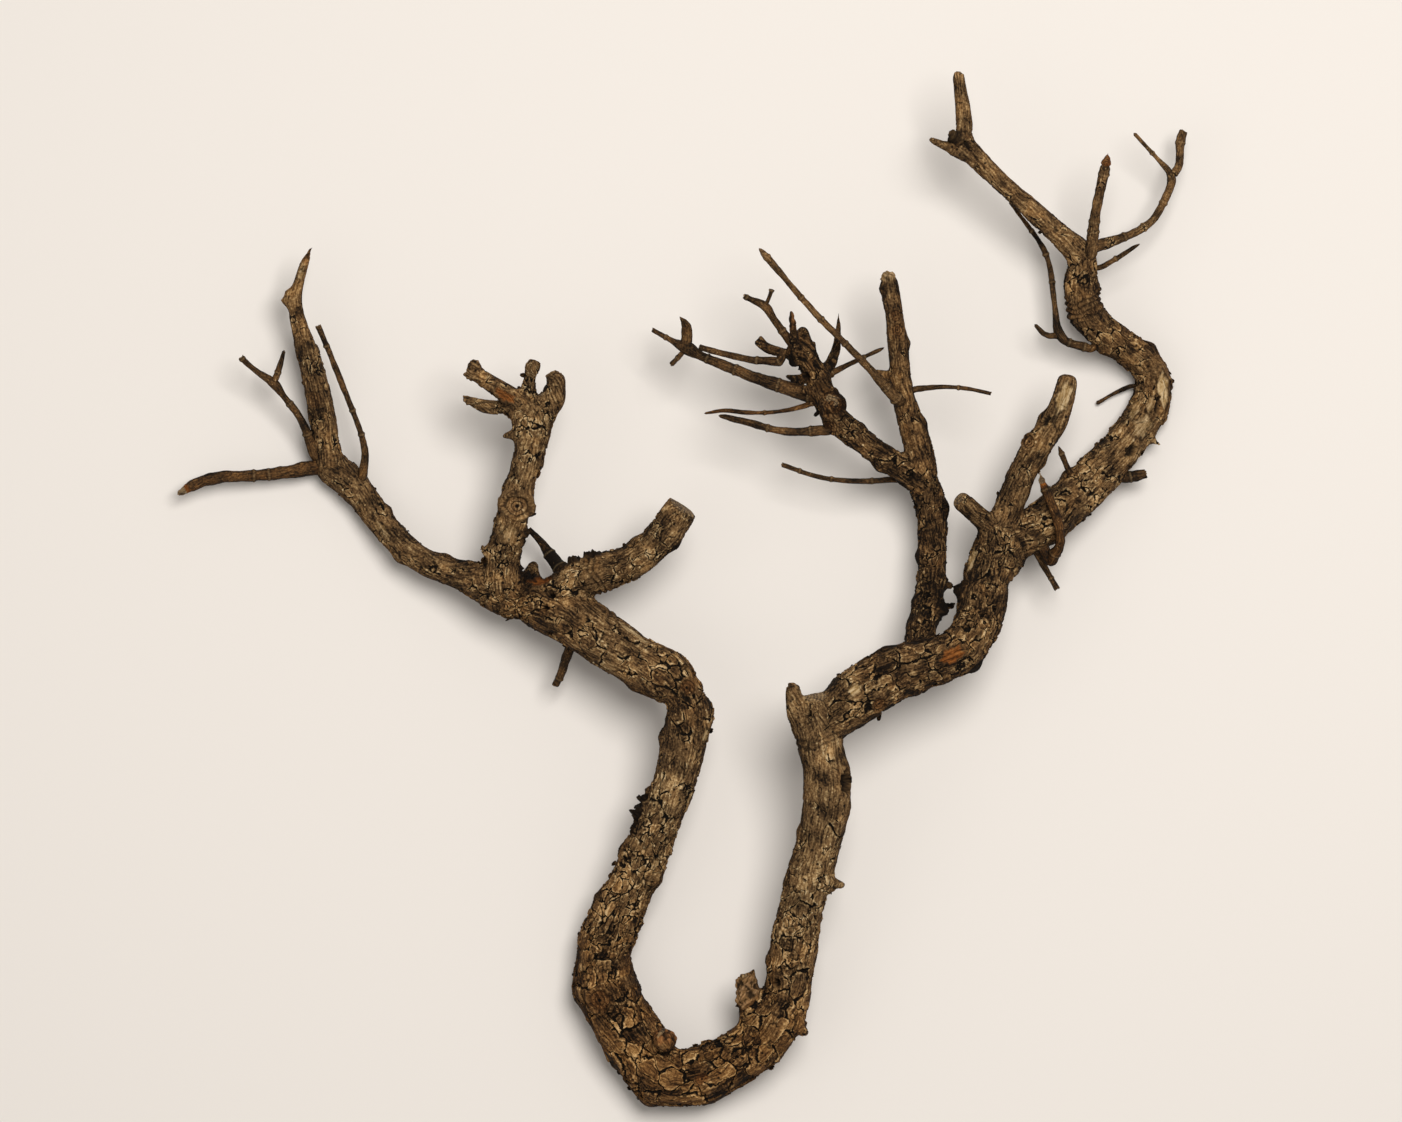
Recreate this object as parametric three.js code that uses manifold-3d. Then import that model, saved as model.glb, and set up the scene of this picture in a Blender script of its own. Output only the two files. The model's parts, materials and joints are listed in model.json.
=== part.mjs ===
// A fallen, weathered tree branch, lying on its back: a stem bowed like a U, with limbs, sawn stubs
// and broken twigs growing from both of its ends. Millimetres, +Z up, the floor at Z = 0.
//
// The branch is split where one limb leaves another. Each limb is a tube of changing girth swept along
// its centreline, with the prongs that are too short to count as limbs joined on, and it is cut back
// from every limb made before it, so that neighbours meet with a small gap.
import * as THREE from "three";
import { mergeVertices } from "three/addons/utils/BufferGeometryUtils.js";
import Module from "manifold-3d";

const wasm = await Module();
wasm.setup();

// Driving dimensions.
const OVERALL_HEIGHT = 406.4; // from the bottom of the bow to the tip of the highest stub, along +Y
const JOINT_GAP = 0.3; // left between a limb and the one that it grows from
const LUMPINESS = 0.045; // how far the girth wanders, as a share of the radius

// Sections and steps of the swept tubes.
const LIMB_SIDES = 10;
const BOUGH_SIDES = 7;
const TWIG_SIDES = 5;
const LIMB_RADIUS = 8; // a tube this thick somewhere has LIMB_SIDES
const BOUGH_RADIUS = 3.4; // and one this thick has BOUGH_SIDES
const STEP_IN_RADII = 1.1; // between rings
const SHORTEST_STEP = 7.2;
const DOME_STEPS = [0.3]; // rings in a rounded end, as shares of the end's radius

// Colours of bark and wood.
const OLD_BARK = { color: 0x75644a, roughness: 0.92, metalness: 0 };
const YOUNG_BARK = { color: 0x6a5438, roughness: 0.85, metalness: 0 };
const TORN_WOOD = { color: 0x95683a, roughness: 0.8, metalness: 0 };

// A tube's centreline and girth: [x, y, z, radius] at each point, from its base to its tip.
// base and tip are "sawn", a flat end, or "round", a domed one.
const tube = (points, tip = "sawn", base = "sawn") => ({ points, tip, base });

// ---- The bowed stem, from the left fork, over the knee, round the bow and up to the right fork.
const stem = [
  tube([[-66, 200, 24, 8], [-52, 198, 29, 11], [-38, 190, 32, 11.2], [-22, 179, 35, 9.8],
    [-9, 172, 38, 9.8], [3, 166, 40, 11.5]], "round", "round"),
  tube([[4, 166, 40, 10.5], [1, 153, 39, 9], [-1.5, 140, 37, 8.2], [-3.5, 130, 35, 7.8],
    [-7.5, 120, 33, 8], [-12, 110, 30, 8.7], [-16, 100, 27, 9], [-20.5, 90, 24, 9],
    [-26, 79, 20, 10], [-30, 69, 16.5, 10.4], [-34, 59, 13, 12], [-32, 49, 12.3, 13],
    [-26.5, 39, 12.5, 12.2], [-18, 25, 13, 12.2], [-8, 12.4, 13.5, 12.8], [8, 14.6, 15.5, 11.8],
    [21, 22, 19, 10.8], [35, 33, 24, 10.8], [40, 48, 29, 8.8], [42, 62, 32, 9], [44, 75, 36, 9],
    [46.5, 88, 40, 9.4], [51, 101, 44, 8.4], [54.5, 117, 48, 8.5], [55.3, 131, 50, 9.3],
    [52.3, 145, 52, 8.8], [50.8, 156, 54, 8], [50.5, 163.5, 57, 4.8]], "sawn", "round"),
];
const kneeBoss = tube([[0, 167, 40, 10], [6.5, 163.5, 41, 9]], "round", "round");
const kneeKnob = tube([[2, 151, 38, 4.5], [10, 149, 39, 2.2]], "round");
const elbowKnot = tube([[-33, 46, 18, 5.5], [-33.8, 46, 26.6, 4.2]]);
const bowCutStub = tube([[-13, 22, 16, 6], [-10, 26, 24, 4.8], [-7.5, 29.5, 29.5, 4]]);
const bowBrokenStub = [
  tube([[28, 33, 22, 6.5], [25.5, 43, 25, 5.4], [23.8, 49, 27, 4.6], [23, 54, 28, 2.4]]),
  tube([[26, 45, 26, 3.6], [26, 51, 27.5, 2.8], [27, 56.5, 28, 1]]),
];
const armKnot = tube([[56, 130, 50, 7], [60.5, 129, 51, 4.4]], "round");
const armBud = tube([[50, 87, 41, 3], [56.5, 88.2, 42, 1.6], [59.5, 88.6, 42, 1.2]], "round");
const forkPeg = tube([[45, 150, 53, 4], [42.5, 159, 56, 3.1], [41.9, 169, 58, 2.8]], "round");

// ---- Limbs on the right of the bow.
const rightLimb = [
  tube([[52, 148, 51, 8.5], [60, 158.5, 52, 10], [70, 166, 52, 10.8], [80, 172, 51, 10.6],
    [92, 175.5, 49, 9.7], [104, 179.5, 47, 9.4], [112.5, 187, 44, 9.5], [115.5, 199, 39, 8.6],
    [118, 210, 35, 8.9], [122, 222, 31, 10.5], [128, 230, 29, 8]], "round", "round"),
  tube([[124, 220, 31, 7], [130.5, 211, 31, 2.8]], "round"),
  tube([[114, 210, 36, 6], [110, 216, 38, 3]], "round"),
];
const rightUpperLimb = [
  tube([[124, 225, 30, 9.5], [136, 227.5, 27.5, 8.8], [148, 237, 23.5, 9.2], [162, 250, 17.5, 8.3],
    [172, 261, 12.5, 7.8], [179.5, 271, 8.6, 8.1], [184, 281, 7.4, 8], [184.3, 290, 8.8, 7.2],
    [177.5, 297, 12.5, 6.6], [168.5, 302.5, 17, 6.2], [160, 309, 21.5, 6.5], [155, 317, 25, 7],
    [154.8, 325, 27.5, 6.7], [155.5, 332, 29, 5.8], [156.5, 339, 30, 5.4]], "round", "round"),
];
const sawnRightStub = [
  tube([[123, 226, 31, 6.5], [127.5, 240, 34, 5.9], [131.3, 250, 37, 5.4], [137, 260.5, 40, 5.6],
    [144, 271, 43, 4.9], [147.5, 280, 45, 4.5], [149, 287.8, 46.5, 4]]),
];
const forkStub = [tube([[121, 228, 33, 4.6], [113.5, 234.5, 38, 4.1], [106.5, 240.3, 42, 3.6]])];
const tornTwig = [
  tube([[136, 223, 26, 3.2], [142.5, 218.5, 31, 2.7], [147, 219, 35, 2.2], [146.6, 227, 38, 2.1],
    [143.5, 237, 38.5, 1.7], [138, 249.3, 39, 1.1]]),
];
const underTwig = [tube([[137, 222, 26, 2], [141, 213, 24, 1.4], [146, 205.5, 23, 1.2]])];
const bowedBranchTwig = [
  tube([[153, 243, 21, 1.9], [151, 251, 24, 1.3], [148, 256, 26, 1.2], [146.3, 260.5, 28, 1.5]]),
];
const elbowStub = [
  tube([[162, 246, 16, 3.2], [170, 247.5, 15, 2.7], [175, 249.5, 14.5, 2.5], [180, 252, 14, 2.1]]),
];
const backTwig = [tube([[180, 286, 5, 1.3], [172, 284, 3.4, 0.9], [163, 278.5, 2.6, 0.8]])];
const sideTwig = [
  tube([[165, 301, 17.5, 2.4], [156, 300, 19, 1.9], [148, 301.8, 20, 1.7], [141.5, 302.8, 21, 1.6],
    [139, 306, 22, 1.3], [138, 308.5, 22.5, 1.1]]),
  tube([[148, 301.5, 20, 1.9], [146.2, 308, 20, 1.5], [145, 317, 19.5, 1.3], [143.5, 329, 19, 1.3],
    [142.5, 336, 19, 1.5], [137, 344, 20, 1.1], [127.5, 356.5, 23, 0.8]]),
];
const neckTwig = [
  tube([[157, 328, 28, 2], [164, 331.7, 29, 1.2], [171, 335.6, 30, 1.1], [176.8, 340, 31, 1.1]]),
];

// ---- The crown at the top right.
const topLeftBranch = [
  tube([[155.5, 335, 30, 5.5], [149, 341, 32, 4.8], [141, 348, 34, 4.2], [131, 357, 36, 3.9],
    [120, 366.5, 39, 3.8], [111, 375.5, 41, 4.2], [105, 381.5, 42, 4.2]], "round"),
  tube([[104.5, 381, 42, 2.4], [100, 385, 43, 1.7], [98, 388, 44, 1.2], [95.8, 391.5, 45, 1]]),
  tube([[105, 382, 42, 2.6], [103, 386, 43, 1.8], [102.8, 390, 43, 0.6]]),
];
const topLeftStub = [
  tube([[107.5, 378, 42, 3.8], [109, 387, 43.5, 3.2], [107.5, 396, 45, 2.7], [106.3, 406, 46, 2.3]]),
];
const crownSpike = [
  tube([[158.5, 333, 32, 3.2], [158.5, 342, 37, 2.7], [160, 352, 40, 2.4], [162, 361, 43, 2.3],
    [163, 368, 45, 2.6], [163.8, 371, 46, 2.2], [164.6, 374, 47, 0.5]]),
];
const rightCurl = [
  tube([[157, 337, 30, 3.2], [166, 340.5, 29, 2.3], [174, 343.8, 27, 1.9], [182, 347.5, 25, 1.9],
    [186, 352.5, 23.5, 2], [188, 358.5, 22, 1.8], [191.5, 364.5, 21, 1.8], [194.8, 370.5, 20, 2.2],
    [194, 377, 19, 1.9], [193.8, 383.8, 18, 2.1]]),
  tube([[192.5, 366, 21, 1.4], [189, 369, 22, 1.1], [183.5, 375.5, 24, 0.9], [176, 383, 27, 0.8]]),
  tube([[193.8, 381.7, 18, 1.9], [197, 383.3, 18, 1.3]]),
];

// ---- The inner branch, which leaves the back of the right limb, and what grows from it.
const innerBranch = [
  tube([[92, 179, 44, 6.5], [92, 189, 36, 6], [95, 199, 29, 5.6], [96.5, 210, 24.5, 5.8],
    [97.3, 221, 22, 5.8], [97, 232, 22.5, 5.7], [95, 243, 25.5, 6.6], [92.5, 249, 28, 6]], "round"),
  tube([[98, 209, 23, 3], [103.5, 209, 24, 2.5], [106.3, 204.5, 25, 1.6]], "round"),
  tube([[96, 198, 28, 2.6], [102, 197.5, 26, 1.8], [107, 200.5, 25, 1.2]], "round"),
];
const innerLeftBranch = [
  tube([[93, 246, 27, 5.5], [83.5, 253, 32, 5.1], [74, 259.5, 37, 4.7], [65.5, 265.5, 41.5, 4.9],
    [58.5, 271.5, 45, 5.6], [55.5, 278, 46.5, 5.2]], "round"),
  tube([[56.8, 276, 48, 4.6], [57.3, 277.8, 53.6, 3.9]]),
];
const gnarledHead = [
  tube([[55.5, 276, 46, 5], [53, 284, 48, 4.6], [50, 290.5, 50, 4.4], [46.5, 297, 51, 3.9],
    [45.2, 302, 51, 3.2], [46.5, 307, 50, 2]], "round"),
  tube([[44, 293, 52, 2.6], [42.8, 299, 56, 2.1], [41.9, 306, 58, 1.6], [41, 313, 60, 1]], "round"),
  tube([[46, 295.5, 50, 2.6], [39, 296.5, 48.5, 2.1], [33, 298.3, 47.5, 2.1], [27.5, 301.5, 46.5, 1.7]]),
  tube([[31, 299.5, 47.5, 1.4], [29.3, 303.8, 48, 0.8]]),
  tube([[52, 288, 47, 2.8], [57, 293, 46, 2.4], [59.2, 300, 45, 1.7], [59.8, 307, 44.5, 1.1],
    [59.8, 313, 44, 0.4]]),
  tube([[49, 287, 50, 1.8], [43.5, 286.3, 51, 1.3], [39.8, 287.8, 52, 0.6]]),
];
const longLeftTwig = [
  tube([[51, 280, 46, 3.7], [44, 282.5, 44.5, 3.4], [35, 285, 43, 3.1], [25, 288.5, 41.5, 2.7],
    [15, 292.5, 39.5, 2.4], [6, 296.3, 37.5, 2], [1.5, 298, 36, 1.8]], "round"),
  tube([[3.5, 296.8, 36.8, 1.7], [-4, 301.5, 34, 1.2], [-12.5, 306.3, 31, 1.1]]),
  tube([[2.8, 297, 36.5, 1.9], [1.3, 303, 37, 1.6], [-1.2, 310.8, 38, 1.3]]),
  tube([[1.6, 302.5, 37, 1.4], [2.8, 310.5, 37, 1.1]]),
  tube([[2.5, 298, 36, 1.4], [-1, 295, 35, 1], [-4.8, 293, 34, 0.9]]),
];
const upperLeftTwig = [
  tube([[46, 294.5, 50, 2.2], [36, 293.8, 48.5, 1.9], [26, 294.3, 47, 1.6], [16, 296.5, 44.5, 1.5],
    [6, 299.3, 41.5, 1.5]]),
];
const forkedTwig = [
  tube([[45, 297.5, 51, 2.4], [38.5, 304.5, 53, 1.8], [34.5, 309.5, 54.5, 1.5], [32, 313.8, 55.5, 1.7],
    [27.5, 316.8, 56.5, 1.2], [23, 318.2, 57.5, 1]]),
  tube([[31.8, 313.8, 55.5, 1.5], [33, 317.5, 57, 1.2], [34, 320.8, 58, 0.8]]),
];
const crossTwig = [tube([[55, 288.5, 46, 2], [61, 291.5, 40, 1.2], [69, 295.3, 35.5, 1], [77.3, 299.2, 32, 1]])];
const bentTwig = [
  tube([[51.5, 279.5, 46, 1.6], [45.5, 276, 45, 1.1], [38, 274.3, 44, 0.9], [30, 273.7, 43.4, 0.9],
    [23, 273.8, 42.8, 1.1], [10, 275.6, 41, 0.9], [8.7, 273.4, 41, 0.8]]),
];
const lowTwig = [
  tube([[58, 268.5, 44, 2.8], [48, 266.3, 42.5, 2], [38, 266.8, 41, 1.8], [28, 268.8, 39.5, 1.6],
    [20, 271, 38.5, 1.4], [14, 273, 38, 1.3]]),
  tube([[28, 268.8, 39.5, 1.2], [28, 271.8, 39.6, 0.9], [25.3, 273.2, 39, 0.8]]),
];
const lowestTwig = [
  tube([[89, 249.5, 28, 2], [80, 247.8, 27, 1.4], [70, 247.3, 26.5, 1.3], [60, 247.7, 26, 1.2],
    [49, 249.8, 26, 1.1], [38.3, 253.9, 26.5, 1]]),
];
const innerUpright = [
  tube([[93.5, 247, 27, 5.6], [92.5, 256, 30, 5.6], [89, 266.5, 33, 5.3], [86, 277, 36, 4.9],
    [84, 289, 38, 4], [82.8, 301, 39.5, 3.9], [81.5, 313, 41, 3.5], [80, 322, 42, 3.4],
    [79.3, 328, 42.5, 2.9]], "round"),
  tube([[83.5, 285, 35, 2.8], [78.5, 287.5, 31, 2.2], [76, 290.7, 29, 1.5]], "round"),
];
const crossingTwig = [
  tube([[84, 277.5, 39, 3], [79, 283, 44.5, 2.6], [74, 288.5, 48.5, 1.9], [62, 300.5, 55, 1.6],
    [50, 312.5, 60, 1.5], [38.5, 325.5, 65, 1.4], [33.5, 331.5, 67, 1.8], [29, 336.2, 69, 1.6]]),
];
const outerTwig = [
  tube([[85.5, 283, 37, 2.2], [91, 283.3, 37.5, 1.3], [101, 284.2, 39, 1], [111, 283.3, 40, 0.9],
    [119, 281.2, 41, 0.9]]),
];

// ---- Limbs on the left of the bow.
const leftOuterBranch = [
  tube([[-60, 199, 25, 8.5], [-70, 202.5, 23, 8.6], [-79, 208, 21, 7.6], [-89, 211, 19, 5.6],
    [-100, 214.5, 16.5, 5.2], [-109, 220.5, 14, 5], [-117.5, 229, 11.5, 5.2], [-125, 239, 9, 5.5],
    [-131.5, 247, 7.2, 6.4], [-139, 253, 6.4, 7], [-145, 256.5, 7, 6]], "round", "round"),
  tube([[-67, 205, 20, 4], [-61, 210.5, 15, 3], [-59, 216, 13, 1.8]], "round"),
  tube([[-61.5, 210.5, 15, 2.2], [-56.5, 209.5, 13, 1.6]], "round"),
];
const leftUpright = [
  tube([[-72, 205, 25, 7], [-71, 218, 28, 6.2], [-68.5, 229, 31, 6.5], [-66.3, 237, 33, 6.4],
    [-64, 247, 35.5, 5.4], [-61.3, 257, 38, 5.2], [-59.3, 265, 40, 6.6], [-58.5, 273, 42, 8.8],
    [-58.2, 280, 43, 8]], "round"),
  tube([[-64, 278, 43, 4], [-74, 284, 44.5, 3.3], [-82.3, 290, 46, 3]]),
  tube([[-64, 275, 41, 3.6], [-75, 276, 40, 2.6], [-80, 276.8, 39.5, 2.4], [-86.5, 280, 39, 1]]),
  tube([[-61, 279, 44, 3.4], [-60.3, 287, 46, 2.8], [-57.8, 293.7, 48, 2.3]]),
  tube([[-60, 287, 46, 2], [-62, 292, 47, 1.1]], "round"),
  tube([[-54, 275, 43, 5.2], [-50, 282.5, 44.5, 4.4], [-51, 289.8, 46, 3.4]], "round"),
  tube([[-73, 217, 27, 3], [-78, 220, 30, 2.6], [-79.8, 221.8, 31.5, 1.8]], "round"),
];
const leftStub = [
  tube([[-48, 202, 30, 9], [-38, 210.5, 33, 7.9], [-28, 212.5, 36, 7.4], [-18, 217.5, 39, 6.6],
    [-9.5, 225, 42, 6.3], [-0.8, 236.8, 45, 6.3]]),
];
const underStub = [
  tube([[-44, 189, 27, 3.6], [-45.5, 180, 23, 2.4], [-48, 174, 20, 2], [-50, 167.5, 18, 1.9]]),
];
const tuckedTwig = [
  tube([[-45, 207, 24, 4], [-50.5, 216, 18, 3.4], [-53, 220.5, 16, 1.8], [-61.5, 228.5, 14, 1.1]]),
  tube([[-50, 215, 18, 2.4], [-55, 216.5, 16, 1.2]]),
];
const leftSpike = [
  tube([[-139.5, 252, 8, 5.6], [-141, 264, 10, 5.1], [-143, 275, 12, 5.3], [-145.3, 287, 15, 5.1],
    [-148.5, 300, 18, 4.5], [-151.3, 309, 20, 3], [-153, 317.5, 21.5, 2.9], [-151.5, 324, 22.5, 1.9],
    [-149.3, 332, 24, 1.7], [-145.8, 339, 25.5, 0.5]]),
  tube([[-153, 315, 21.5, 2.6], [-155.5, 322.5, 22, 1.8]]),
];
const leftThinTwig = [
  tube([[-144.5, 255, 9, 2.8], [-147.5, 264, 13, 2], [-151, 272.5, 16, 1.8], [-157, 280.5, 18.5, 1.6],
    [-165, 287.8, 21, 1.4], [-173.8, 295.5, 23.5, 1.3]]),
  tube([[-160.5, 283.5, 19.5, 1.5], [-160, 288, 21, 2.1], [-158, 293, 22.5, 1.5], [-157, 298, 23.5, 0.7]]),
];
const leftSnappedTwig = [
  tube([[-141, 253.5, 8, 4], [-151, 252, 9, 3.2], [-161, 250.3, 10, 2.7], [-172, 249.6, 11, 2.7],
    [-184, 249, 12, 2.8], [-193.5, 247.5, 12.5, 2.3]]),
  tube([[-191, 246.5, 12.5, 1.5], [-195.5, 245, 12.5, 1.2], [-199, 242.8, 12.5, 0.3]]),
];
const leftBowTwig = [
  tube([[-130, 246.5, 9, 3], [-125.5, 253.5, 14, 1.9], [-125.3, 260, 17, 1.6], [-128, 269, 19, 1.3],
    [-132, 279.5, 21, 1.3], [-135, 287, 22.5, 1.6], [-139, 297.5, 24, 1.3], [-143.5, 308, 26, 1.4]]),
];

// Every limb, in the order in which it is fitted: [name, tubes, finish].
const LIMBS = [
  ["bowed_stem", [...stem, kneeBoss, kneeKnob, elbowKnot, bowCutStub, ...bowBrokenStub, armKnot,
    armBud, forkPeg], OLD_BARK],
  ["right_limb", rightLimb, OLD_BARK],
  ["right_upper_limb", rightUpperLimb, OLD_BARK],
  ["sawn_right_stub", sawnRightStub, OLD_BARK],
  ["fork_stub", forkStub, OLD_BARK],
  ["torn_twig", tornTwig, TORN_WOOD],
  ["under_twig", underTwig, YOUNG_BARK],
  ["mid_limb_twig", bowedBranchTwig, YOUNG_BARK],
  ["elbow_stub", elbowStub, YOUNG_BARK],
  ["back_twig", backTwig, YOUNG_BARK],
  ["side_twig", sideTwig, YOUNG_BARK],
  ["top_left_branch", topLeftBranch, OLD_BARK],
  ["top_left_stub", topLeftStub, OLD_BARK],
  ["crown_spike", crownSpike, YOUNG_BARK],
  ["right_curl", rightCurl, YOUNG_BARK],
  ["neck_twig", neckTwig, YOUNG_BARK],
  ["inner_branch", innerBranch, OLD_BARK],
  ["inner_left_branch", innerLeftBranch, OLD_BARK],
  ["inner_upright", innerUpright, OLD_BARK],
  ["gnarled_head", gnarledHead, OLD_BARK],
  ["long_left_twig", longLeftTwig, YOUNG_BARK],
  ["upper_left_twig", upperLeftTwig, YOUNG_BARK],
  ["forked_twig", forkedTwig, YOUNG_BARK],
  ["cross_twig", crossTwig, YOUNG_BARK],
  ["bent_twig", bentTwig, YOUNG_BARK],
  ["low_twig", lowTwig, YOUNG_BARK],
  ["lowest_twig", lowestTwig, YOUNG_BARK],
  ["crossing_twig", crossingTwig, YOUNG_BARK],
  ["outer_twig", outerTwig, YOUNG_BARK],
  ["left_outer_branch", leftOuterBranch, OLD_BARK],
  ["left_upright", leftUpright, OLD_BARK],
  ["left_stub", leftStub, OLD_BARK],
  ["under_stub", underStub, YOUNG_BARK],
  ["tucked_twig", tuckedTwig, YOUNG_BARK],
  ["left_spike", leftSpike, OLD_BARK],
  ["left_thin_twig", leftThinTwig, YOUNG_BARK],
  ["left_snapped_twig", leftSnappedTwig, YOUNG_BARK],
  ["left_bow_twig", leftBowTwig, YOUNG_BARK],
];

// Distances along a tube at which it has a ring: even steps, closer together in a rounded end.
function ringDistances(length, { points, tip, base }) {
  const radii = points.map((point) => point[3]);
  const step = Math.max(SHORTEST_STEP, STEP_IN_RADII * Math.max(...radii));
  const first = base === "round" ? Math.min(radii[0], length / 2) : 0;
  const last = tip === "round" ? Math.min(radii.at(-1), length / 2) : 0;
  const dome = (radius) => (radius ? [0, ...DOME_STEPS.map((share) => share * radius)] : [0]);
  const count = Math.max(1, Math.round((length - first - last) / step));
  const middle = [];
  for (let i = first ? 0 : 1; i < (last ? count + 1 : count); i++)
    middle.push(first + ((length - first - last) * i) / count);
  return [...dome(first), ...middle, ...dome(last).map((d) => length - d).reverse()];
}

// The share of its girth that a rounded end has at a distance from the very tip.
function domeShare(distance, radius) {
  const inside = Math.max(0, 1 - distance / radius);
  return Math.sqrt(Math.max(0, 1 - inside * inside));
}

// Slow swellings round and along a limb, so that no section is a true circle.
function lump(angle, distance, phase) {
  return 1 + LUMPINESS * (Math.sin(2 * angle + distance / 11 + phase)
    + 0.7 * Math.sin(3 * angle - distance / 7 + 2 * phase)
    + 0.6 * Math.sin(distance / 5 + 3 * phase));
}

// A closed tube: a unit cylinder whose rings are moved onto the centreline. grow thickens and lengthens it.
function tubeGeometry(spec, grow) {
  const curve = new THREE.CatmullRomCurve3(
    spec.points.map(([x, y, z]) => new THREE.Vector3(x, y, z)), false, "centripetal");
  const length = curve.getLength();
  const distances = ringDistances(length, spec);
  const radii = spec.points.map((point) => point[3]);
  const widest = Math.max(...radii);
  const sides = widest >= LIMB_RADIUS ? LIMB_SIDES : widest >= BOUGH_RADIUS ? BOUGH_SIDES : TWIG_SIDES;
  const smallest = 0.1; // radius of a domed end's last ring
  const phase = spec.points[0][0] + spec.points[0][1];

  // Frames are carried along the curve without twist.
  const normal = new THREE.Vector3();
  const frames = distances.map((distance, i) => {
    const tangent = curve.getTangentAt(distance / length);
    if (i === 0) normal.crossVectors(tangent, new THREE.Vector3(0.3, 0.2, 1)).normalize();
    else normal.addScaledVector(tangent, -normal.dot(tangent)).normalize();
    const across = new THREE.Vector3().crossVectors(normal, tangent);
    return { tangent, normal: normal.clone(), across };
  });

  const radiusAt = (distance) => {
    const place = curve.getUtoTmapping(distance / length) * (radii.length - 1);
    const before = Math.min(Math.floor(place), radii.length - 2);
    let radius = THREE.MathUtils.lerp(radii[before], radii[before + 1], place - before);
    if (spec.base === "round") radius *= domeShare(distance, radii[0]);
    if (spec.tip === "round") radius *= domeShare(length - distance, radii.at(-1));
    return Math.max(radius, smallest);
  };

  const rings = distances.length - 1;
  const geometry = new THREE.CylinderGeometry(1, 1, 1, sides, rings);
  geometry.deleteAttribute("normal");
  geometry.deleteAttribute("uv");
  const position = geometry.attributes.position;
  const vertex = new THREE.Vector3();
  for (let i = 0; i < position.count; i++) {
    const ring = Math.round((position.getY(i) + 0.5) * rings);
    const angle = Math.atan2(position.getZ(i), position.getX(i));
    const reach = Math.hypot(position.getX(i), position.getZ(i))
      * (radiusAt(distances[ring]) * lump(angle, distances[ring], phase) + grow);
    const { tangent, normal: out, across } = frames[ring];
    vertex.copy(curve.getPointAt(distances[ring] / length))
      .addScaledVector(out, reach * Math.cos(angle))
      .addScaledVector(across, reach * Math.sin(angle))
      .addScaledVector(tangent, ring === 0 ? -grow : ring === rings ? grow : 0);
    position.setXYZ(i, vertex.x, vertex.y, vertex.z);
  }
  return geometry;
}

// A three.js geometry as a manifold-3d solid, and back.
function toSolid(geometry) {
  const merged = mergeVertices(geometry, 1e-4);
  return new wasm.Manifold(new wasm.Mesh({
    numProp: 3,
    vertProperties: merged.attributes.position.array,
    triVerts: new Uint32Array(merged.index.array),
  }));
}

function toGeometry(solid) {
  const { numProp, numVert, vertProperties, triVerts } = solid.getMesh();
  const positions = new Float32Array(numVert * 3);
  for (let i = 0; i < numVert; i++)
    positions.set(vertProperties.subarray(i * numProp, i * numProp + 3), i * 3);
  const geometry = new THREE.BufferGeometry();
  geometry.setAttribute("position", new THREE.BufferAttribute(positions, 3));
  geometry.setIndex(new THREE.BufferAttribute(triVerts, 1));
  geometry.computeVertexNormals();
  return geometry;
}

const joined = (tubes, grow) =>
  tubes.map((spec) => toSolid(tubeGeometry(spec, grow))).reduce((all, one) => all.add(one));

const largestPart = (solid) =>
  solid.decompose().reduce((most, part) => (part.volume() > most.volume() ? part : most));

function boxesMeet(a, b) {
  return [0, 1, 2].every((axis) => a.min[axis] < b.max[axis] && b.min[axis] < a.max[axis]);
}

// What lies under the floor: it wears the undersides of the elbow, the left crown and the right bend flat.
function floorSolid() {
  const size = 1000;
  const floor = new THREE.BoxGeometry(size, size, size);
  floor.deleteAttribute("normal");
  floor.deleteAttribute("uv");
  floor.translate(0, 0, -size / 2);
  return toSolid(floor);
}

function buildBranch() {
  const branch = new THREE.Group();
  const floor = floorSolid();
  const fitted = [];
  for (const [name, tubes, finish] of LIMBS) {
    let solid = joined(tubes, 0);
    const bounds = solid.boundingBox();
    for (const earlier of fitted)
      if (boxesMeet(bounds, earlier.bounds)) solid = solid.subtract(earlier.clearance);
    solid = largestPart(solid.subtract(floor));
    const clearance = joined(tubes, JOINT_GAP);
    fitted.push({ clearance, bounds: clearance.boundingBox() });
    const mesh = new THREE.Mesh(toGeometry(solid), new THREE.MeshStandardMaterial(finish));
    mesh.name = name;
    branch.add(mesh);
  }
  return branch;
}

const branch = buildBranch();
const box = new THREE.Box3().setFromObject(branch);
branch.scale.setScalar(OVERALL_HEIGHT / (box.max.y - box.min.y));
box.setFromObject(branch);
branch.position.set(-(box.min.x + box.max.x) / 2, -(box.min.y + box.max.y) / 2, -box.min.z);

export default branch;
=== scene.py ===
"""A weathered fallen tree branch, lying on its back on a pale floor.

The thick limbs are fleshed out together from their solids, so that the wood flows through every fork,
and then get their bark: plates, cracks, fibres, knots and wounds. Each one is cut free again at its own
fork, as a closed piece. The twigs are swept along the centrelines of their solids. Lengths are in
millimetres until a mesh is written, and everything sits in the frame of the solids.
"""

import heapq
import json
import logging
from collections import Counter, defaultdict
from dataclasses import dataclass, field, replace
from enum import Enum

import bmesh
import bpy
import numpy as np
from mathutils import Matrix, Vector, noise
from mathutils.bvhtree import BVHTree


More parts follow.
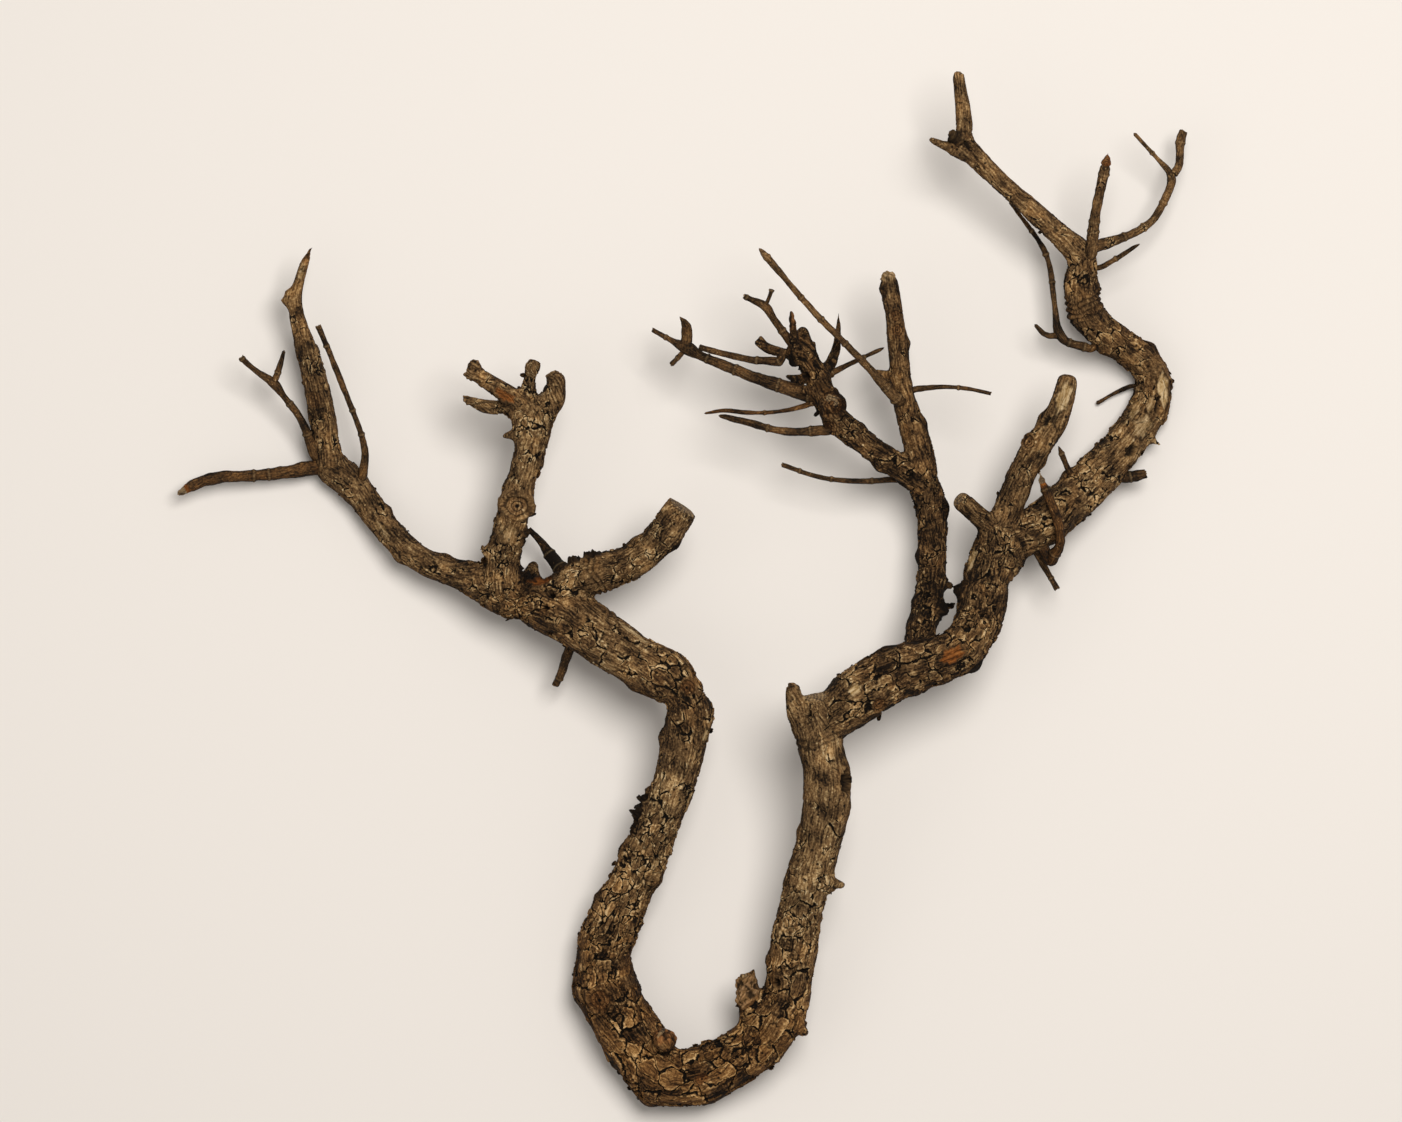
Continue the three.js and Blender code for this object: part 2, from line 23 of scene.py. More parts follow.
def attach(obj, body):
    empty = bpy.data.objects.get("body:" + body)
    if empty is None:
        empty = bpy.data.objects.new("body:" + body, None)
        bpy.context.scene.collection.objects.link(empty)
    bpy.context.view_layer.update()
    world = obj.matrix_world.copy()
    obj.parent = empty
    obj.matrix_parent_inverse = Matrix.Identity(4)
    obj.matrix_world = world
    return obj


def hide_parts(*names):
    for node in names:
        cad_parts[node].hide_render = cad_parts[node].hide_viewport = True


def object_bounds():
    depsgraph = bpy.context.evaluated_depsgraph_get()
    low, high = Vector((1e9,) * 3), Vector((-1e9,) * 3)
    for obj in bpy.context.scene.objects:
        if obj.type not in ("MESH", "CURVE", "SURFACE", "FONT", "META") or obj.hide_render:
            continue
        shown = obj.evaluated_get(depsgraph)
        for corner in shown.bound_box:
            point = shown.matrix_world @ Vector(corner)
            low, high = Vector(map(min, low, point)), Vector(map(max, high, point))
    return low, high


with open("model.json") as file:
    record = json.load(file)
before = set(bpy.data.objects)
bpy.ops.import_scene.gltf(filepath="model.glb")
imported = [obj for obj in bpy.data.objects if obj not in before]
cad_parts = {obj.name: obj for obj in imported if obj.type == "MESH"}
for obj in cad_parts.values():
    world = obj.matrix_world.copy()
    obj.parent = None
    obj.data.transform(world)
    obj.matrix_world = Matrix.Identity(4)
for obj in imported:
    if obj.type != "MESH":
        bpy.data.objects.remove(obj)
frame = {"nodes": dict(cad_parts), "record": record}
CAD_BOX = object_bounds()

log = logging.getLogger("branch")
MM = 0.001
UP = np.array([0.0, 0.0, 1.0])
ASKEW = np.array([0.31, 0.22, 0.93])  # a way that no limb runs in
Array = np.ndarray
Socket = bpy.types.NodeSocket
Tree = bpy.types.NodeTree
Material = bpy.types.Material
Mesh = bpy.types.Mesh
Thing = bpy.types.Object
PAINTED_UNDERSHADE = 0.5  # painted shade: how much darker in tone the bark's flanks and underside are than its top
NO_KNOT = 3.0  # the "knot" attribute, where there is none; it is 0 in a knot's eye and 1 at its lip
KNOT_RINGS = 17.0  # how fast a knot's rings follow one another, in radians from its eye to its lip
TURN = 6.283  # a full turn, in radians
SQUARE_CM_IN_A_METRE = 10000.0  # in a square metre
LIMBS_APART = 1000.0  # mm between the unbent places of two limbs, which keeps their patterns apart
PRONGS_APART = 300.0  # and between those of two prongs of a thick limb
FORKS_APART = 100.0  # or of a twig
MARGIN = 18.0  # mm beyond a centreline within which its skin is looked for
CHUNK = 20000  # vertices measured at a time


# ---- small tools


def linear(code: str) -> tuple[float, float, float, float]:
    """Turns an sRGB hex colour into linear light.

    Args:
        code: the colour, such as "#8a7355".

    Returns:
        Red, green, blue and an alpha of one.
    """
    parts = [int(code[i : i + 2], 16) / 255 for i in (1, 3, 5)]
    light = [c / 12.92 if c <= 0.04045 else ((c + 0.055) / 1.055) ** 2.4 for c in parts]
    return (*light, 1.0)


def put(tree: Tree, kind: str, inputs: dict | None = None, **settings: object) -> bpy.types.Node:
    """Adds one node, with its settings, values and links.

    Args:
        tree: the tree that gets the node.
        kind: the node's type.
        inputs: for each input, by name or number, a value or the output or signal that feeds it.
        settings: properties of the node itself.

    Returns:
        The new node.
    """
    made = tree.nodes.new(kind)
    for key, value in settings.items():
        setattr(made, key, value)
    for key, value in (inputs or {}).items():
        socket = made.inputs[key]
        value = value.socket if isinstance(value, Signal) else value
        if isinstance(value, Socket):
            tree.links.new(value, socket)
        else:
            socket.default_value = value
    return made


class Signal:
    """A number or a vector in a node tree. Arithmetic on it adds the nodes that work it out."""

    def __init__(self, tree: Tree, socket: Socket) -> None:
        """Follows one output of a tree."""
        self.tree = tree
        self.socket = socket

    def into(self, kind: str, inputs: dict, output: int | str = 0, **settings: object) -> "Signal":
        """Adds a node to the same tree.

        Args:
            kind: the node's type.
            inputs: what feeds it, by name or number.
            output: the output to follow.
            settings: properties of the node.

        Returns:
            That output's signal.
        """
        return Signal(self.tree, put(self.tree, kind, inputs, **settings).outputs[output])

    def maths(self, operation: str, *others: "Operand", swap: bool = False) -> "Signal":
        """Does arithmetic on numbers or, if any is a vector, on vectors.

        Args:
            operation: the name of the operation.
            others: the other numbers, vectors or signals.
            swap: puts the others first.

        Returns:
            The result's signal.
        """
        values = [*others, self] if swap else [self, *others]
        vector = any(isinstance(v, Signal) and v.socket.type in ("VECTOR", "RGBA") for v in values)
        if vector:
            values = [(v,) * 3 if isinstance(v, (int, float)) else v for v in values]
        kind = "ShaderNodeVectorMath" if vector else "ShaderNodeMath"
        return self.into(kind, dict(enumerate(values)), operation=operation)

    def __add__(self, other: "Operand") -> "Signal":
        """The sum."""
        return self.maths("ADD", other)

    def __sub__(self, other: "Operand") -> "Signal":
        """The difference."""
        return self.maths("SUBTRACT", other)

    def __rsub__(self, other: "Operand") -> "Signal":
        """The difference, the other way round."""
        return self.maths("SUBTRACT", other, swap=True)

    def __mul__(self, other: "Operand") -> "Signal":
        """The product."""
        return self.maths("MULTIPLY", other)

    def __truediv__(self, other: "Operand") -> "Signal":
        """The quotient."""
        return self.maths("DIVIDE", other)

    def eased(self, low: float, high: float, start: float = 0.0, end: float = 1.0) -> "Signal":
        """Goes smoothly from start at low to end at high."""
        inputs = {0: self, 1: low, 2: high, 3: start, 4: end}
        return self.into("ShaderNodeMapRange", inputs, interpolation_type="SMOOTHSTEP")

    def noise(self, size: float, detail: float = 2.0, output: str = "Fac") -> "Signal":
        """Noise of a grain size, from -1 to 1 or nearly."""
        grain = self.into("ShaderNodeTexNoise", {"Vector": self, "Scale": 1 / size, "Detail": detail}, output)
        return (grain - 0.5) * 2.0

    def mixed(self, other: "Signal", share: "Signal") -> "Signal":
        """Goes over to another number by a share."""
        return self.into("ShaderNodeMix", {0: share, 2: self, 3: other}, data_type="FLOAT")

    def tinted(self, other: "Operand", share: "Operand", blend: str = "MIX") -> "Signal":
        """Goes over to another colour by a share."""
        inputs = {0: share, 6: self, 7: other}
        return self.into("ShaderNodeMix", inputs, 2, data_type="RGBA", blend_type=blend)

    def other(self, name: str) -> "Signal":
        """Follows another output of the node that this signal comes from."""
        return Signal(self.tree, self.socket.node.outputs[name])

    def ramp(self, colours: tuple[tuple[float, str], ...]) -> "Signal":
        """Looks a colour up in a ramp.

        Args:
            colours: each stop's place and its sRGB hex colour.

        Returns:
            The colour's signal.
        """
        looked_up = self.into("ShaderNodeValToRGB", {0: self})
        elements = looked_up.socket.node.color_ramp.elements
        elements.remove(elements[0])
        for i, (place, code) in enumerate(colours):
            element = elements[0] if i == 0 else elements.new(place)
            element.position = place
            element.color = linear(code)
        return looked_up


Operand = Signal | float | tuple


def smoothstep(low: float, high: float, value: Array) -> Array:
    """Eases a value from 0 at low to 1 at high."""
    t = np.clip((value - low) / (high - low), 0, 1)
    return t * t * (3 - 2 * t)


def rumple(points: Array, size: float) -> Array:
    """Smooth noise at points, from about -1 to 1, whose bumps are a size across."""
    return np.array([noise.noise(Vector(p)) for p in (points / size).tolist()]) * 1.6


def unit(vectors: Array) -> Array:
    """Scales vectors to length one."""
    return vectors / np.maximum(np.linalg.norm(vectors, axis=-1, keepdims=True), 1e-12)


def read(items: bpy.types.bpy_prop_collection, key: str, width: int = 1, kind: type = float) -> Array:
    """Reads a number or a vector for each item of a mesh.

    Args:
        items: the mesh's vertices, triangles or attribute values.
        key: what to read of each.
        width: how many numbers that is.
        kind: their type.

    Returns:
        The numbers, with a row for each item where there are several.
    """
    values = np.zeros(len(items) * width, kind)
    items.foreach_get(key, values)
    return values if width == 1 else values.reshape(-1, width)


def spots_of(data: Mesh) -> Array:
    """Reads the vertices' places in millimetres."""
    return read(data.vertices, "co", 3) / MM


def fetch(data: Mesh, name: str) -> Array:
    """Reads a number for each vertex."""
    return read(data.attributes[name].data, "value", kind=np.float32)


def painted_undershade(data: Mesh) -> Array:
    """How much painted shade darkens each vertex's tone, because it faces sideways or down."""
    return PAINTED_UNDERSHADE * (1 - smoothstep(-0.1, 0.8, read(data.vertices, "normal", 3)[:, 2]))


@dataclass
class Solid:
    """A triangle mesh in millimetres, with its vertices merged."""

    verts: Array
    tris: Array

    @classmethod
    def of_node(cls, name: str) -> "Solid":
        """Reads one solid of the frame and merges its loose triangles.

        Args:
            name: the node's name.

        Returns:
            The solid.
        """
        data = frame["nodes"][name].data
        data.calc_loop_triangles()
        places = np.round(spots_of(data), 3)
        merged, index = np.unique(places, axis=0, return_inverse=True)
        a, b, c = index.reshape(-1)[read(data.loop_triangles, "vertices", 3, int)].T
        whole = (a != b) & (b != c) & (c != a)
        return cls(merged, np.stack([a, b, c], axis=1)[whole])

    @classmethod
    def joined(cls, solids: list["Solid"]) -> "Solid":
        """Puts several solids into one, in the order given.

        Args:
            solids: the solids.

        Returns:
            One solid of separate shells.
        """
        start = np.cumsum([0] + [len(s.verts) for s in solids])
        tris = [s.tris + first for s, first in zip(solids, start)]
        return cls(np.concatenate([s.verts for s in solids]), np.concatenate(tris))

    def normals(self) -> Array:
        """Each triangle's normal, as long as twice its area."""
        a, b, c = (self.verts[self.tris[:, i]] for i in range(3))
        return np.cross(b - a, c - a)

    def refined(self, longest: float) -> "Solid":
        """The same surface with no edge longer than a length.

        Args:
            longest: the longest edge allowed.

        Returns:
            A finer solid.
        """
        work = bmesh.new()
        data = build_mesh("refining", self.verts, self.tris)
        work.from_mesh(data)
        for _ in range(5):
            long_edges = [e for e in work.edges if e.calc_length() > longest * MM]
            if not long_edges:
                break
            bmesh.ops.subdivide_edges(work, edges=long_edges, cuts=1)
            bmesh.ops.triangulate(work, faces=[f for f in work.faces if len(f.verts) > 3])
        work.to_mesh(data)
        work.free()
        finer = Solid(spots_of(data), read(data.polygons, "vertices", 3, int))
        bpy.data.meshes.remove(data)
        return finer

    def sawn_faces(self, least: int = 4) -> Array:
        """Marks the triangles of flat ends: several side by side in one plane.

        Args:
            least: how many triangles a flat end has at least.

        Returns:
            True for each triangle of a flat end.
        """
        facing = unit(self.normals())
        offset = np.einsum("ij,ij->i", facing, self.verts[self.tris[:, 0]])
        keys = [(*np.round(n, 2), round(float(d), 1)) for n, d in zip(facing, offset)]
        counts = Counter(keys)
        return np.array([counts[k] >= least for k in keys])


def build_mesh(name: str, verts: Array, faces: Array) -> Mesh:
    """Makes a mesh from arrays.

    Args:
        name: the mesh's name.
        verts: places in millimetres.
        faces: rows of three or four vertex numbers.

    Returns:
        The mesh, in metres.
    """
    data = bpy.data.meshes.new(name)
    count, corners = faces.shape
    data.vertices.add(len(verts))
    data.vertices.foreach_set("co", (verts * MM).astype(np.float32).ravel())
    data.loops.add(count * corners)
    data.loops.foreach_set("vertex_index", faces.astype(np.int32).ravel())
    data.polygons.add(count)
    data.polygons.foreach_set("loop_start", np.arange(0, count * corners, corners, dtype=np.int32))
    data.update(calc_edges=True)
    return data


def place(name: str, data: Mesh) -> Thing:
    """Puts a mesh into the scene as an object at the origin.

    Args:
        name: the object's name.
        data: its mesh.

    Returns:
        The object.
    """
    made = bpy.data.objects.new(name, data)
    bpy.context.scene.collection.objects.link(made)
    return made


def settle(obj: Thing) -> Thing:
    """Turns an object's evaluated shape into its plain mesh and removes its modifiers.

    Args:
        obj: an object with live modifiers.

    Returns:
        The same object, with a plain mesh.
    """
    graph = bpy.context.evaluated_depsgraph_get()
    data = bpy.data.meshes.new_from_object(obj.evaluated_get(graph), depsgraph=graph)
    old = obj.data
    obj.modifiers.clear()
    obj.data = data
    data.name = obj.name
    if old.users == 0:
        bpy.data.meshes.remove(old)
    return obj


def store(data: Mesh, name: str, values: Array, domain: str = "POINT") -> None:
    """Writes a number or a vector for each vertex or face as an attribute.

    Args:
        data: the mesh.
        name: the attribute's name.
        values: the numbers, or the vectors as rows.
        domain: what they belong to.
    """
    kind = "FLOAT_VECTOR" if values.ndim == 2 else "FLOAT"
    layer = data.attributes.new(name, kind, domain)
    layer.data.foreach_set("vector" if values.ndim == 2 else "value", values.astype(np.float32).ravel())


def grow(obj: Thing, tree: Tree, values: dict) -> Thing:
    """Runs a Geometry Nodes tree on an object and keeps the plain mesh.

    Args:
        obj: the object.
        tree: the tree.
        values: its inputs, by their names.

    Returns:
        The same object.
    """
    modifier = obj.modifiers.new(tree.name, "NODES")
    modifier.node_group = tree
    for item in tree.interface.items_tree:
        if item.in_out == "INPUT" and item.name in values:
            modifier[item.identifier] = values[item.name]
    return settle(obj)


# ---- centrelines


@dataclass
class Line:
    """The centreline of a limb or of a prong of it, with its girth."""

    points: Array
    radii: Array
    share: float = 0.0  # where it leaves the limb's main line, as a share of that line
    tangents: Array = field(init=False)
    sides: Array = field(init=False)
    across: Array = field(init=False)
    along: Array = field(init=False)

    def __post_init__(self) -> None:
        """Works out the distances and the frames, which are carried along without twist."""
        steps = np.diff(self.points, axis=0)
        self.along = np.concatenate([[0], np.cumsum(np.linalg.norm(steps, axis=1))])
        self.tangents = unit(np.gradient(self.points, axis=0))
        side = np.cross(self.tangents[0], ASKEW)
        sides = []
        for tangent in self.tangents:
            side = side - tangent * (side @ tangent)
            side = side / np.linalg.norm(side)
            sides.append(side)
        self.sides = np.array(sides)
        self.across = np.cross(self.tangents, self.sides)

    def resampled(self, step: float) -> "Line":
        """The same line with even steps.

        Args:
            step: the distance between points.

        Returns:
            A new line.
        """
        count = max(4, int(round(self.along[-1] / step)) + 1)
        at = np.linspace(0, self.along[-1], count)
        points = np.stack([np.interp(at, self.along, self.points[:, i]) for i in range(3)], axis=1)
        return Line(points, np.interp(at, self.along, self.radii), self.share)

    def spot(self, share: float, turn: float) -> tuple[Array, Array, Array]:
        """Finds a point on the limb's skin.

        Args:
            share: how far along, from 0 at the base to 1 at the tip.
            turn: degrees round the limb from its top side.

        Returns:
            The point, the way out of the limb and the way along it.
        """
        i = int(np.argmin(np.abs(self.along - share * self.along[-1])))
        tangent = self.tangents[i]
        top = unit(UP - tangent * (UP @ tangent))
        side = np.cross(tangent, top)
        out = top * np.cos(np.radians(turn)) + side * np.sin(np.radians(turn))
        return self.points[i] + out * self.radii[i], out, tangent


class Tracer:
    """Finds the centrelines of a branching tube from its surface.

    The surface is cut into bands by the distance walked from its base. Each closed band round the tube
    gives one point of a centreline, and a band that splits in two is a fork.
    """

    def __init__(self, solid: Solid, base: Array, band: float) -> None:
        """Traces a solid.

        Args:
            solid: the tube's surface.
            base: True for the vertices at the tube's base.
            band: the width of the bands.
        """
        self.verts = solid.verts
        self.edges = np.unique(np.sort(solid.tris[:, [0, 1, 1, 2, 2, 0]].reshape(-1, 2), axis=1), axis=0)
        self.band = band
        self.walked = self._walk(np.flatnonzero(base))
        self.group = self._groups()
        self._link()

    def _walk(self, starts: Array) -> Array:
        """Walks the surface from its base.

        Args:
            starts: the numbers of the base's vertices.

        Returns:
            Each vertex's distance along the edges from the nearest of them.
        """
        spans = np.linalg.norm(self.verts[self.edges[:, 0]] - self.verts[self.edges[:, 1]], axis=1)
        beside = defaultdict(list)
        for (a, b), span in zip(self.edges.tolist(), spans.tolist()):
            beside[a].append((b, span))
            beside[b].append((a, span))
        walked = np.full(len(self.verts), np.inf).tolist()
        heap = [(0.0, int(s)) for s in starts]
        for _, s in heap:
            walked[s] = 0.0
        while heap:
            distance, here = heapq.heappop(heap)
            if distance > walked[here]:
                continue
            for there, span in beside[here]:
                further = distance + span
                if further < walked[there]:
                    walked[there] = further
                    heapq.heappush(heap, (further, there))
        reached = np.array(walked)
        reached[~np.isfinite(reached)] = 0
        return reached

    def _groups(self) -> Array:
        """Numbers the connected bands.

        Returns:
            The number of each vertex's band.
        """
        level = (self.walked / self.band).astype(int)
        leader = list(range(len(self.verts)))

        def find(i: int) -> int:
            """Finds the leader of a vertex's band.

            Args:
                i: the vertex.

            Returns:
                The leader, a vertex that stands for the band.
            """
            while leader[i] != i:
                leader[i] = leader[leader[i]]
                i = leader[i]
            return i

        same = self.edges[level[self.edges[:, 0]] == level[self.edges[:, 1]]]
        for a, b in same.tolist():
            leader[find(a)] = find(b)
        _, group = np.unique([find(i) for i in range(len(self.verts))], return_inverse=True)
        self.level = np.zeros(group.max() + 1, int)
        self.level[group] = level
        return group

    def _link(self) -> None:
        """Finds each band's centre and the band below it."""
        count = len(self.level)
        size = np.bincount(self.group, minlength=count)
        self.centres = np.stack(
            [np.bincount(self.group, self.verts[:, i], count) / size for i in range(3)], axis=1
        )
        votes = defaultdict(Counter)
        for a, b in self.group[self.edges].tolist():
            if self.level[a] == self.level[b] + 1:
                votes[a][b] += 1
            elif self.level[b] == self.level[a] + 1:
                votes[b][a] += 1
        self.below = [votes[g].most_common(1)[0][0] if votes[g] else -1 for g in range(count)]
        order = np.argsort(self.level)
        self.depth = np.zeros(count)
        for g in order:
            if self.below[g] >= 0:
                down = self.below[g]
                self.depth[g] = self.depth[down] + np.linalg.norm(self.centres[g] - self.centres[down])

    def _girth(self, chain: list[int], points: Array) -> Array:
        """Measures the radius at each band of a chain, square to the line.

        Args:
            chain: the bands.
            points: their centres.

        Returns:
            The radii.
        """
        tangents = unit(np.gradient(points, axis=0))
        radii = []
        for g, centre, tangent in zip(chain, points, tangents):
            spokes = self.verts[self.group == g] - centre
            spokes = spokes - np.outer(spokes @ tangent, tangent)
            radii.append(np.percentile(np.linalg.norm(spokes, axis=1), 90))
        return np.maximum(radii, 0.5)

    def lines(self, least: float) -> list[Line]:
        """Every centreline, the longest first.

        Args:
            least: a prong shorter than this, beyond the skin that it grows from, is left out.

        Returns:
            The lines.
        """
        leaves = set(range(len(self.below))) - set(self.below)
        used: dict[int, float] = {}
        found = []
        for leaf in sorted(leaves, key=lambda g: -self.depth[g]):
            chain = []
            g = leaf
            while g >= 0 and g not in used:
                chain.append(g)
                g = self.below[g]
            if g < 0 and found:
                continue
            if g >= 0:
                root_radius = self._girth([g, g], self.centres[[g, g]] + [[0, 0, 0], [0, 0, 0.01]])[0]
                if self.depth[leaf] - self.depth[g] < least + 1.1 * root_radius:
                    continue
                chain.append(g)
            chain.reverse()
            if len(chain) < 3:
                continue
            points = self.centres[chain]
            radii = self._girth(chain, points)
            if g >= 0:
                radii[0] = radii[1] = radii[2]
            tip = self.verts[self.group == leaf]
            way = unit(points[-1] - points[-3])
            points[-1] = points[-1] + way * ((tip - points[-1]) @ way).max()
            for _ in range(2):
                points[1:-1] = 0.25 * points[:-2] + 0.5 * points[1:-1] + 0.25 * points[2:]
                radii[1:-1] = 0.25 * radii[:-2] + 0.5 * radii[1:-1] + 0.25 * radii[2:]
            share = used[g] if g >= 0 else 0.0
            line = Line(points, radii, share)
            for c, at in zip(chain, line.along / line.along[-1]):
                used.setdefault(c, at if not found else share)
            found.append(line)
        return found


def surface_of(solids: list[Solid]) -> BVHTree:
    """Builds one search tree over several solids, in the order given."""
    whole = Solid.joined(solids)
    return BVHTree.FromPolygons(whole.verts.tolist(), whole.tris.tolist())


def gaps(points: Array, tree: BVHTree) -> Array:
    """Measures each point's distance from a surface."""
    return np.array([tree.find_nearest(Vector(p))[3] for p in points])


def squares(spots: Array, points: Array) -> Array:
    """Measures the squared distance from each spot, a row each, to each point, a column each."""
    return (spots**2).sum(1)[:, None] - 2 * spots @ points.T + (points**2).sum(1)[None]


# ---- what grows where


@dataclass(frozen=True)
class Stretch:
    """How the bark is at one place along a limb. Between two places it changes evenly."""

    at: float = 0.0  # share of the limb's length
    plated: float = 0.7  # how far the bark has broken into plates
    fine: float = 0.4  # 0 is large plates, 1 is small ones
    fibrous: float = 0.5  # how strongly it runs in lengthwise ridges
    warm: float = 0.3  # 0 is grey-brown, 1 is red-brown
    tone: float = 0.5  # 0 is dark, 1 is light


class MarkKind(Enum):
    """What a mark on a limb is."""

    KNOT = "a ringed scar where a twig has dropped"
    HOLE = "a hole with a raised lip"
    WOUND = "a patch where the bark is off and the wood is red-brown"
    PEEL = "a long patch of bare pale wood"
    LUMP = "a swelling"
    STUMP = "a broken end that has lost its bark all round"
    CLUMP = "a crumbly dark clump of dirt and old bud scales"
    WRINKLES = "a stretch wrinkled right round the limb"


class Tip(Enum):
    """How a twig ends."""

    CUT = "cut off square"
    BUD = "in a pointed bud"
    TORN = "torn off, in splinters"


@dataclass(frozen=True)
class Mark:
    """A mark on a limb's skin."""

    kind: MarkKind
    at: float  # share of the limb's length
    turn: float  # degrees round from the top
    wide: float  # half width, mm
    long: float  # half length along the limb, mm
    high: float = 1.0  # height or depth, mm
    raw: float = 0.8  # how free of bark
    off: float = 0.0  # how far beyond the limb's skin, mm, for a mark on a stub
    prong: int = 0  # which of the limb's centrelines

    def laid(self, line: Line, verts: Array, normals: Array) -> tuple[Array, Array, dict[str, Array]]:
        """Lays the mark on the skin.

        Args:
            line: the centreline that it is placed by.
            verts: the skin's vertices.
            normals: their normals.

        Returns:
            The numbers of the vertices that it changes, how far each moves out, and how bare, pale,
            dark and calm each is. A knot also gives each one's distance from its eye.
        """
        centre, out, tangent = line.spot(self.at, self.turn)
        reach = verts - (centre + out * self.off)
        longest = max(self.wide, self.long)
        shallow = (normals @ out > 0.1) & (np.abs(reach @ out) < 0.9 * longest)
        facing = shallow | (self.kind in (STUMP, WRINKLES))
        near = np.flatnonzero((np.linalg.norm(reach, axis=1) < 2.2 * longest + 1) & facing)
        reach, spots = reach[near], verts[near]
        along = reach @ tangent / self.long
        side = reach @ np.cross(out, tangent) / self.wide
        angle = np.arctan2(side, along)
        ragged = 0.13 * np.sin(5 * angle + self.at * 90) + 0.08 * np.sin(11 * angle + self.turn)
        d = np.hypot(along, side) * (1 + ragged * (0.25 if self.kind is KNOT else 1.0))
        lip = np.exp(-(((d - 1.05) / 0.25) ** 2))
        inside = 1 - smoothstep(0.75, 1.0, d)
        if self.kind is KNOT:
            rings = -np.sin(d * KNOT_RINGS) * (1 - smoothstep(0.9, 1.3, d))
            moved = self.high * (lip + 0.22 * rings - 0.5 * inside)
            shades = {"bare": self.raw * inside, "knot": d}
        elif self.kind is HOLE:
            moved = 0.5 * lip - self.high * inside
            # Painted shade fills the hole.
            shades = {"dark": 0.95 * (1 - smoothstep(0.8, 1.05, d))}
        elif self.kind is STUMP:
            d = np.hypot(d, reach @ out / self.wide)
            inside = 1 - smoothstep(0.85, 1.1, d)
            # The grain runs along the stub, so the crags are drawn out along it.
            axis = out if self.off > 0 else tangent
            grained = spots - 0.65 * np.outer(reach @ axis, axis)
            crags = rumple(grained, 2.2) + 0.6 * rumple(spots, 1.2)
            moved = (0.3 + 2.0 * self.high) * crags * inside
            shades = {"pale": self.high * inside, "bare": self.raw * inside}
            # Painted shade in the hollows between the crags.
            shades["dark"] = 0.9 * smoothstep(0.0, 0.4, -crags) * inside
        elif self.kind is LUMP:
            moved = self.high * np.exp(-(d**2))
            shades = {}
        elif self.kind is CLUMP:
            crumbs = 0.7 + 0.9 * rumple(spots, 2.0)
            moved = self.high * np.exp(-(d**2)) * np.clip(crumbs, 0, 2)
            shades = {"dark": 0.82 * (1 - smoothstep(0.9, 1.4, d))}
        elif self.kind is WRINKLES:
            d = np.abs(along)
            wave = np.cos(along * self.long * 2.7 + 2.5 * rumple(spots, 6.0))
            fade = 1 - smoothstep(0.6, 1.0, d)
            moved = self.high * wave * fade
            # Painted shade in the wrinkles' troughs.
            shades = {"dark": 0.7 * smoothstep(0.5, 0.95, -wave) * fade}
        else:
            moved = 0.45 * lip * self.high - 0.6 * self.high * inside
            colour = "bare" if self.kind is WOUND else "pale"
            shades = {colour: self.raw * (1 - smoothstep(0.82, 0.98, d))}
            shades["dark"] = 0.7 * np.exp(-(((d - 1.02) / 0.07) ** 2))
        return near, moved, {**shades, "calm": 1 - smoothstep(1.0, 1.35, d)}


@dataclass(frozen=True)
class Spur:
    """A short broken twiglet on a limb's skin, too small to have a solid of its own."""

    at: float  # share of the limb's length
    turn: float  # degrees round from the top
    long: float  # mm
    thick: float  # radius of its root, mm
    lean: float = 0.0  # degrees from straight out towards the limb's tip
    taper: float = 0.6  # radius of its end, as a share of its root's
    prong: int = 0
    sides: int = 9
    heights: tuple[float, ...] = (0.0, 0.3, 0.6, 0.85, 1.0)  # of its rings, as shares of its length
    girths: tuple[float, ...] = (1.0, 1.15, 0.85, 0.9, 0.8, 0.7)  # of its root and its rings
    sunk: float = 0.8  # how much deeper than its radius its root lies, mm

    def _stand(self, line: Line) -> tuple[Array, Array, Array]:
        """Stands it on the limb.

        Args:
            line: the limb's centreline.

        Returns:
            Its root on the limb's skin, its way, and the way square to both it and the limb.
        """
        root, out, tangent = line.spot(self.at, self.turn)
        way = out * np.cos(np.radians(self.lean)) + tangent * np.sin(np.radians(self.lean))
        return root, way, np.cross(out, tangent)

    def line(self, line: Line) -> Line:
        """Draws its own centreline.

        Args:
            line: the limb's centreline.

        Returns:
            The spur's, from inside the limb to its end.
        """
        root, way, _ = self._stand(line)
        points = root + np.outer(np.linspace(-0.5 * self.thick, self.long, 4), way)
        return Line(points, np.full(4, 1.2 * self.thick))

    def solid(self, line: Line) -> Solid:
        """Makes the twiglet as a closed, tapered tube that starts inside the limb.

        Args:
            line: the limb's centreline.

        Returns:
            The solid.
        """
        root, way, side = self._stand(line)
        flat = np.cross(way, side)
        angles = np.arange(self.sides) * 2 * np.pi / self.sides
        hoop = np.outer(np.cos(angles), flat) + np.outer(np.sin(angles), np.cross(way, flat))
        heights = [-self.thick - self.sunk, *(height * self.long for height in self.heights)]
        spread = np.array(self.girths) * np.linspace(1.0, self.taper, len(self.girths)) * self.thick
        sway = side * np.sin(self.turn + 3 * self.at) * 0.3 * self.thick
        rings = [root + way * h + sway * max(h, 0) / self.long + hoop * r for h, r in zip(heights, spread)]
        ends = [root + way * heights[0], root + way * (heights[-1] + 0.3) + sway]
        here = np.arange(self.sides)
        after = (here + 1) % self.sides
        tris = []
        for low in range(0, len(self.heights) * self.sides, self.sides):
            high = low + self.sides
            tris += [np.stack([low + here, low + after, high + after], 1)]
            tris += [np.stack([low + here, high + after, high + here], 1)]
        hub = len(heights) * self.sides
        tris += [np.stack([np.full(self.sides, hub), after, here], 1)]
        last = hub - self.sides
        tris += [np.stack([np.full(self.sides, hub + 1), last + here, last + after], 1)]
        return Solid(np.vstack([*rings, *ends]), np.concatenate(tris))


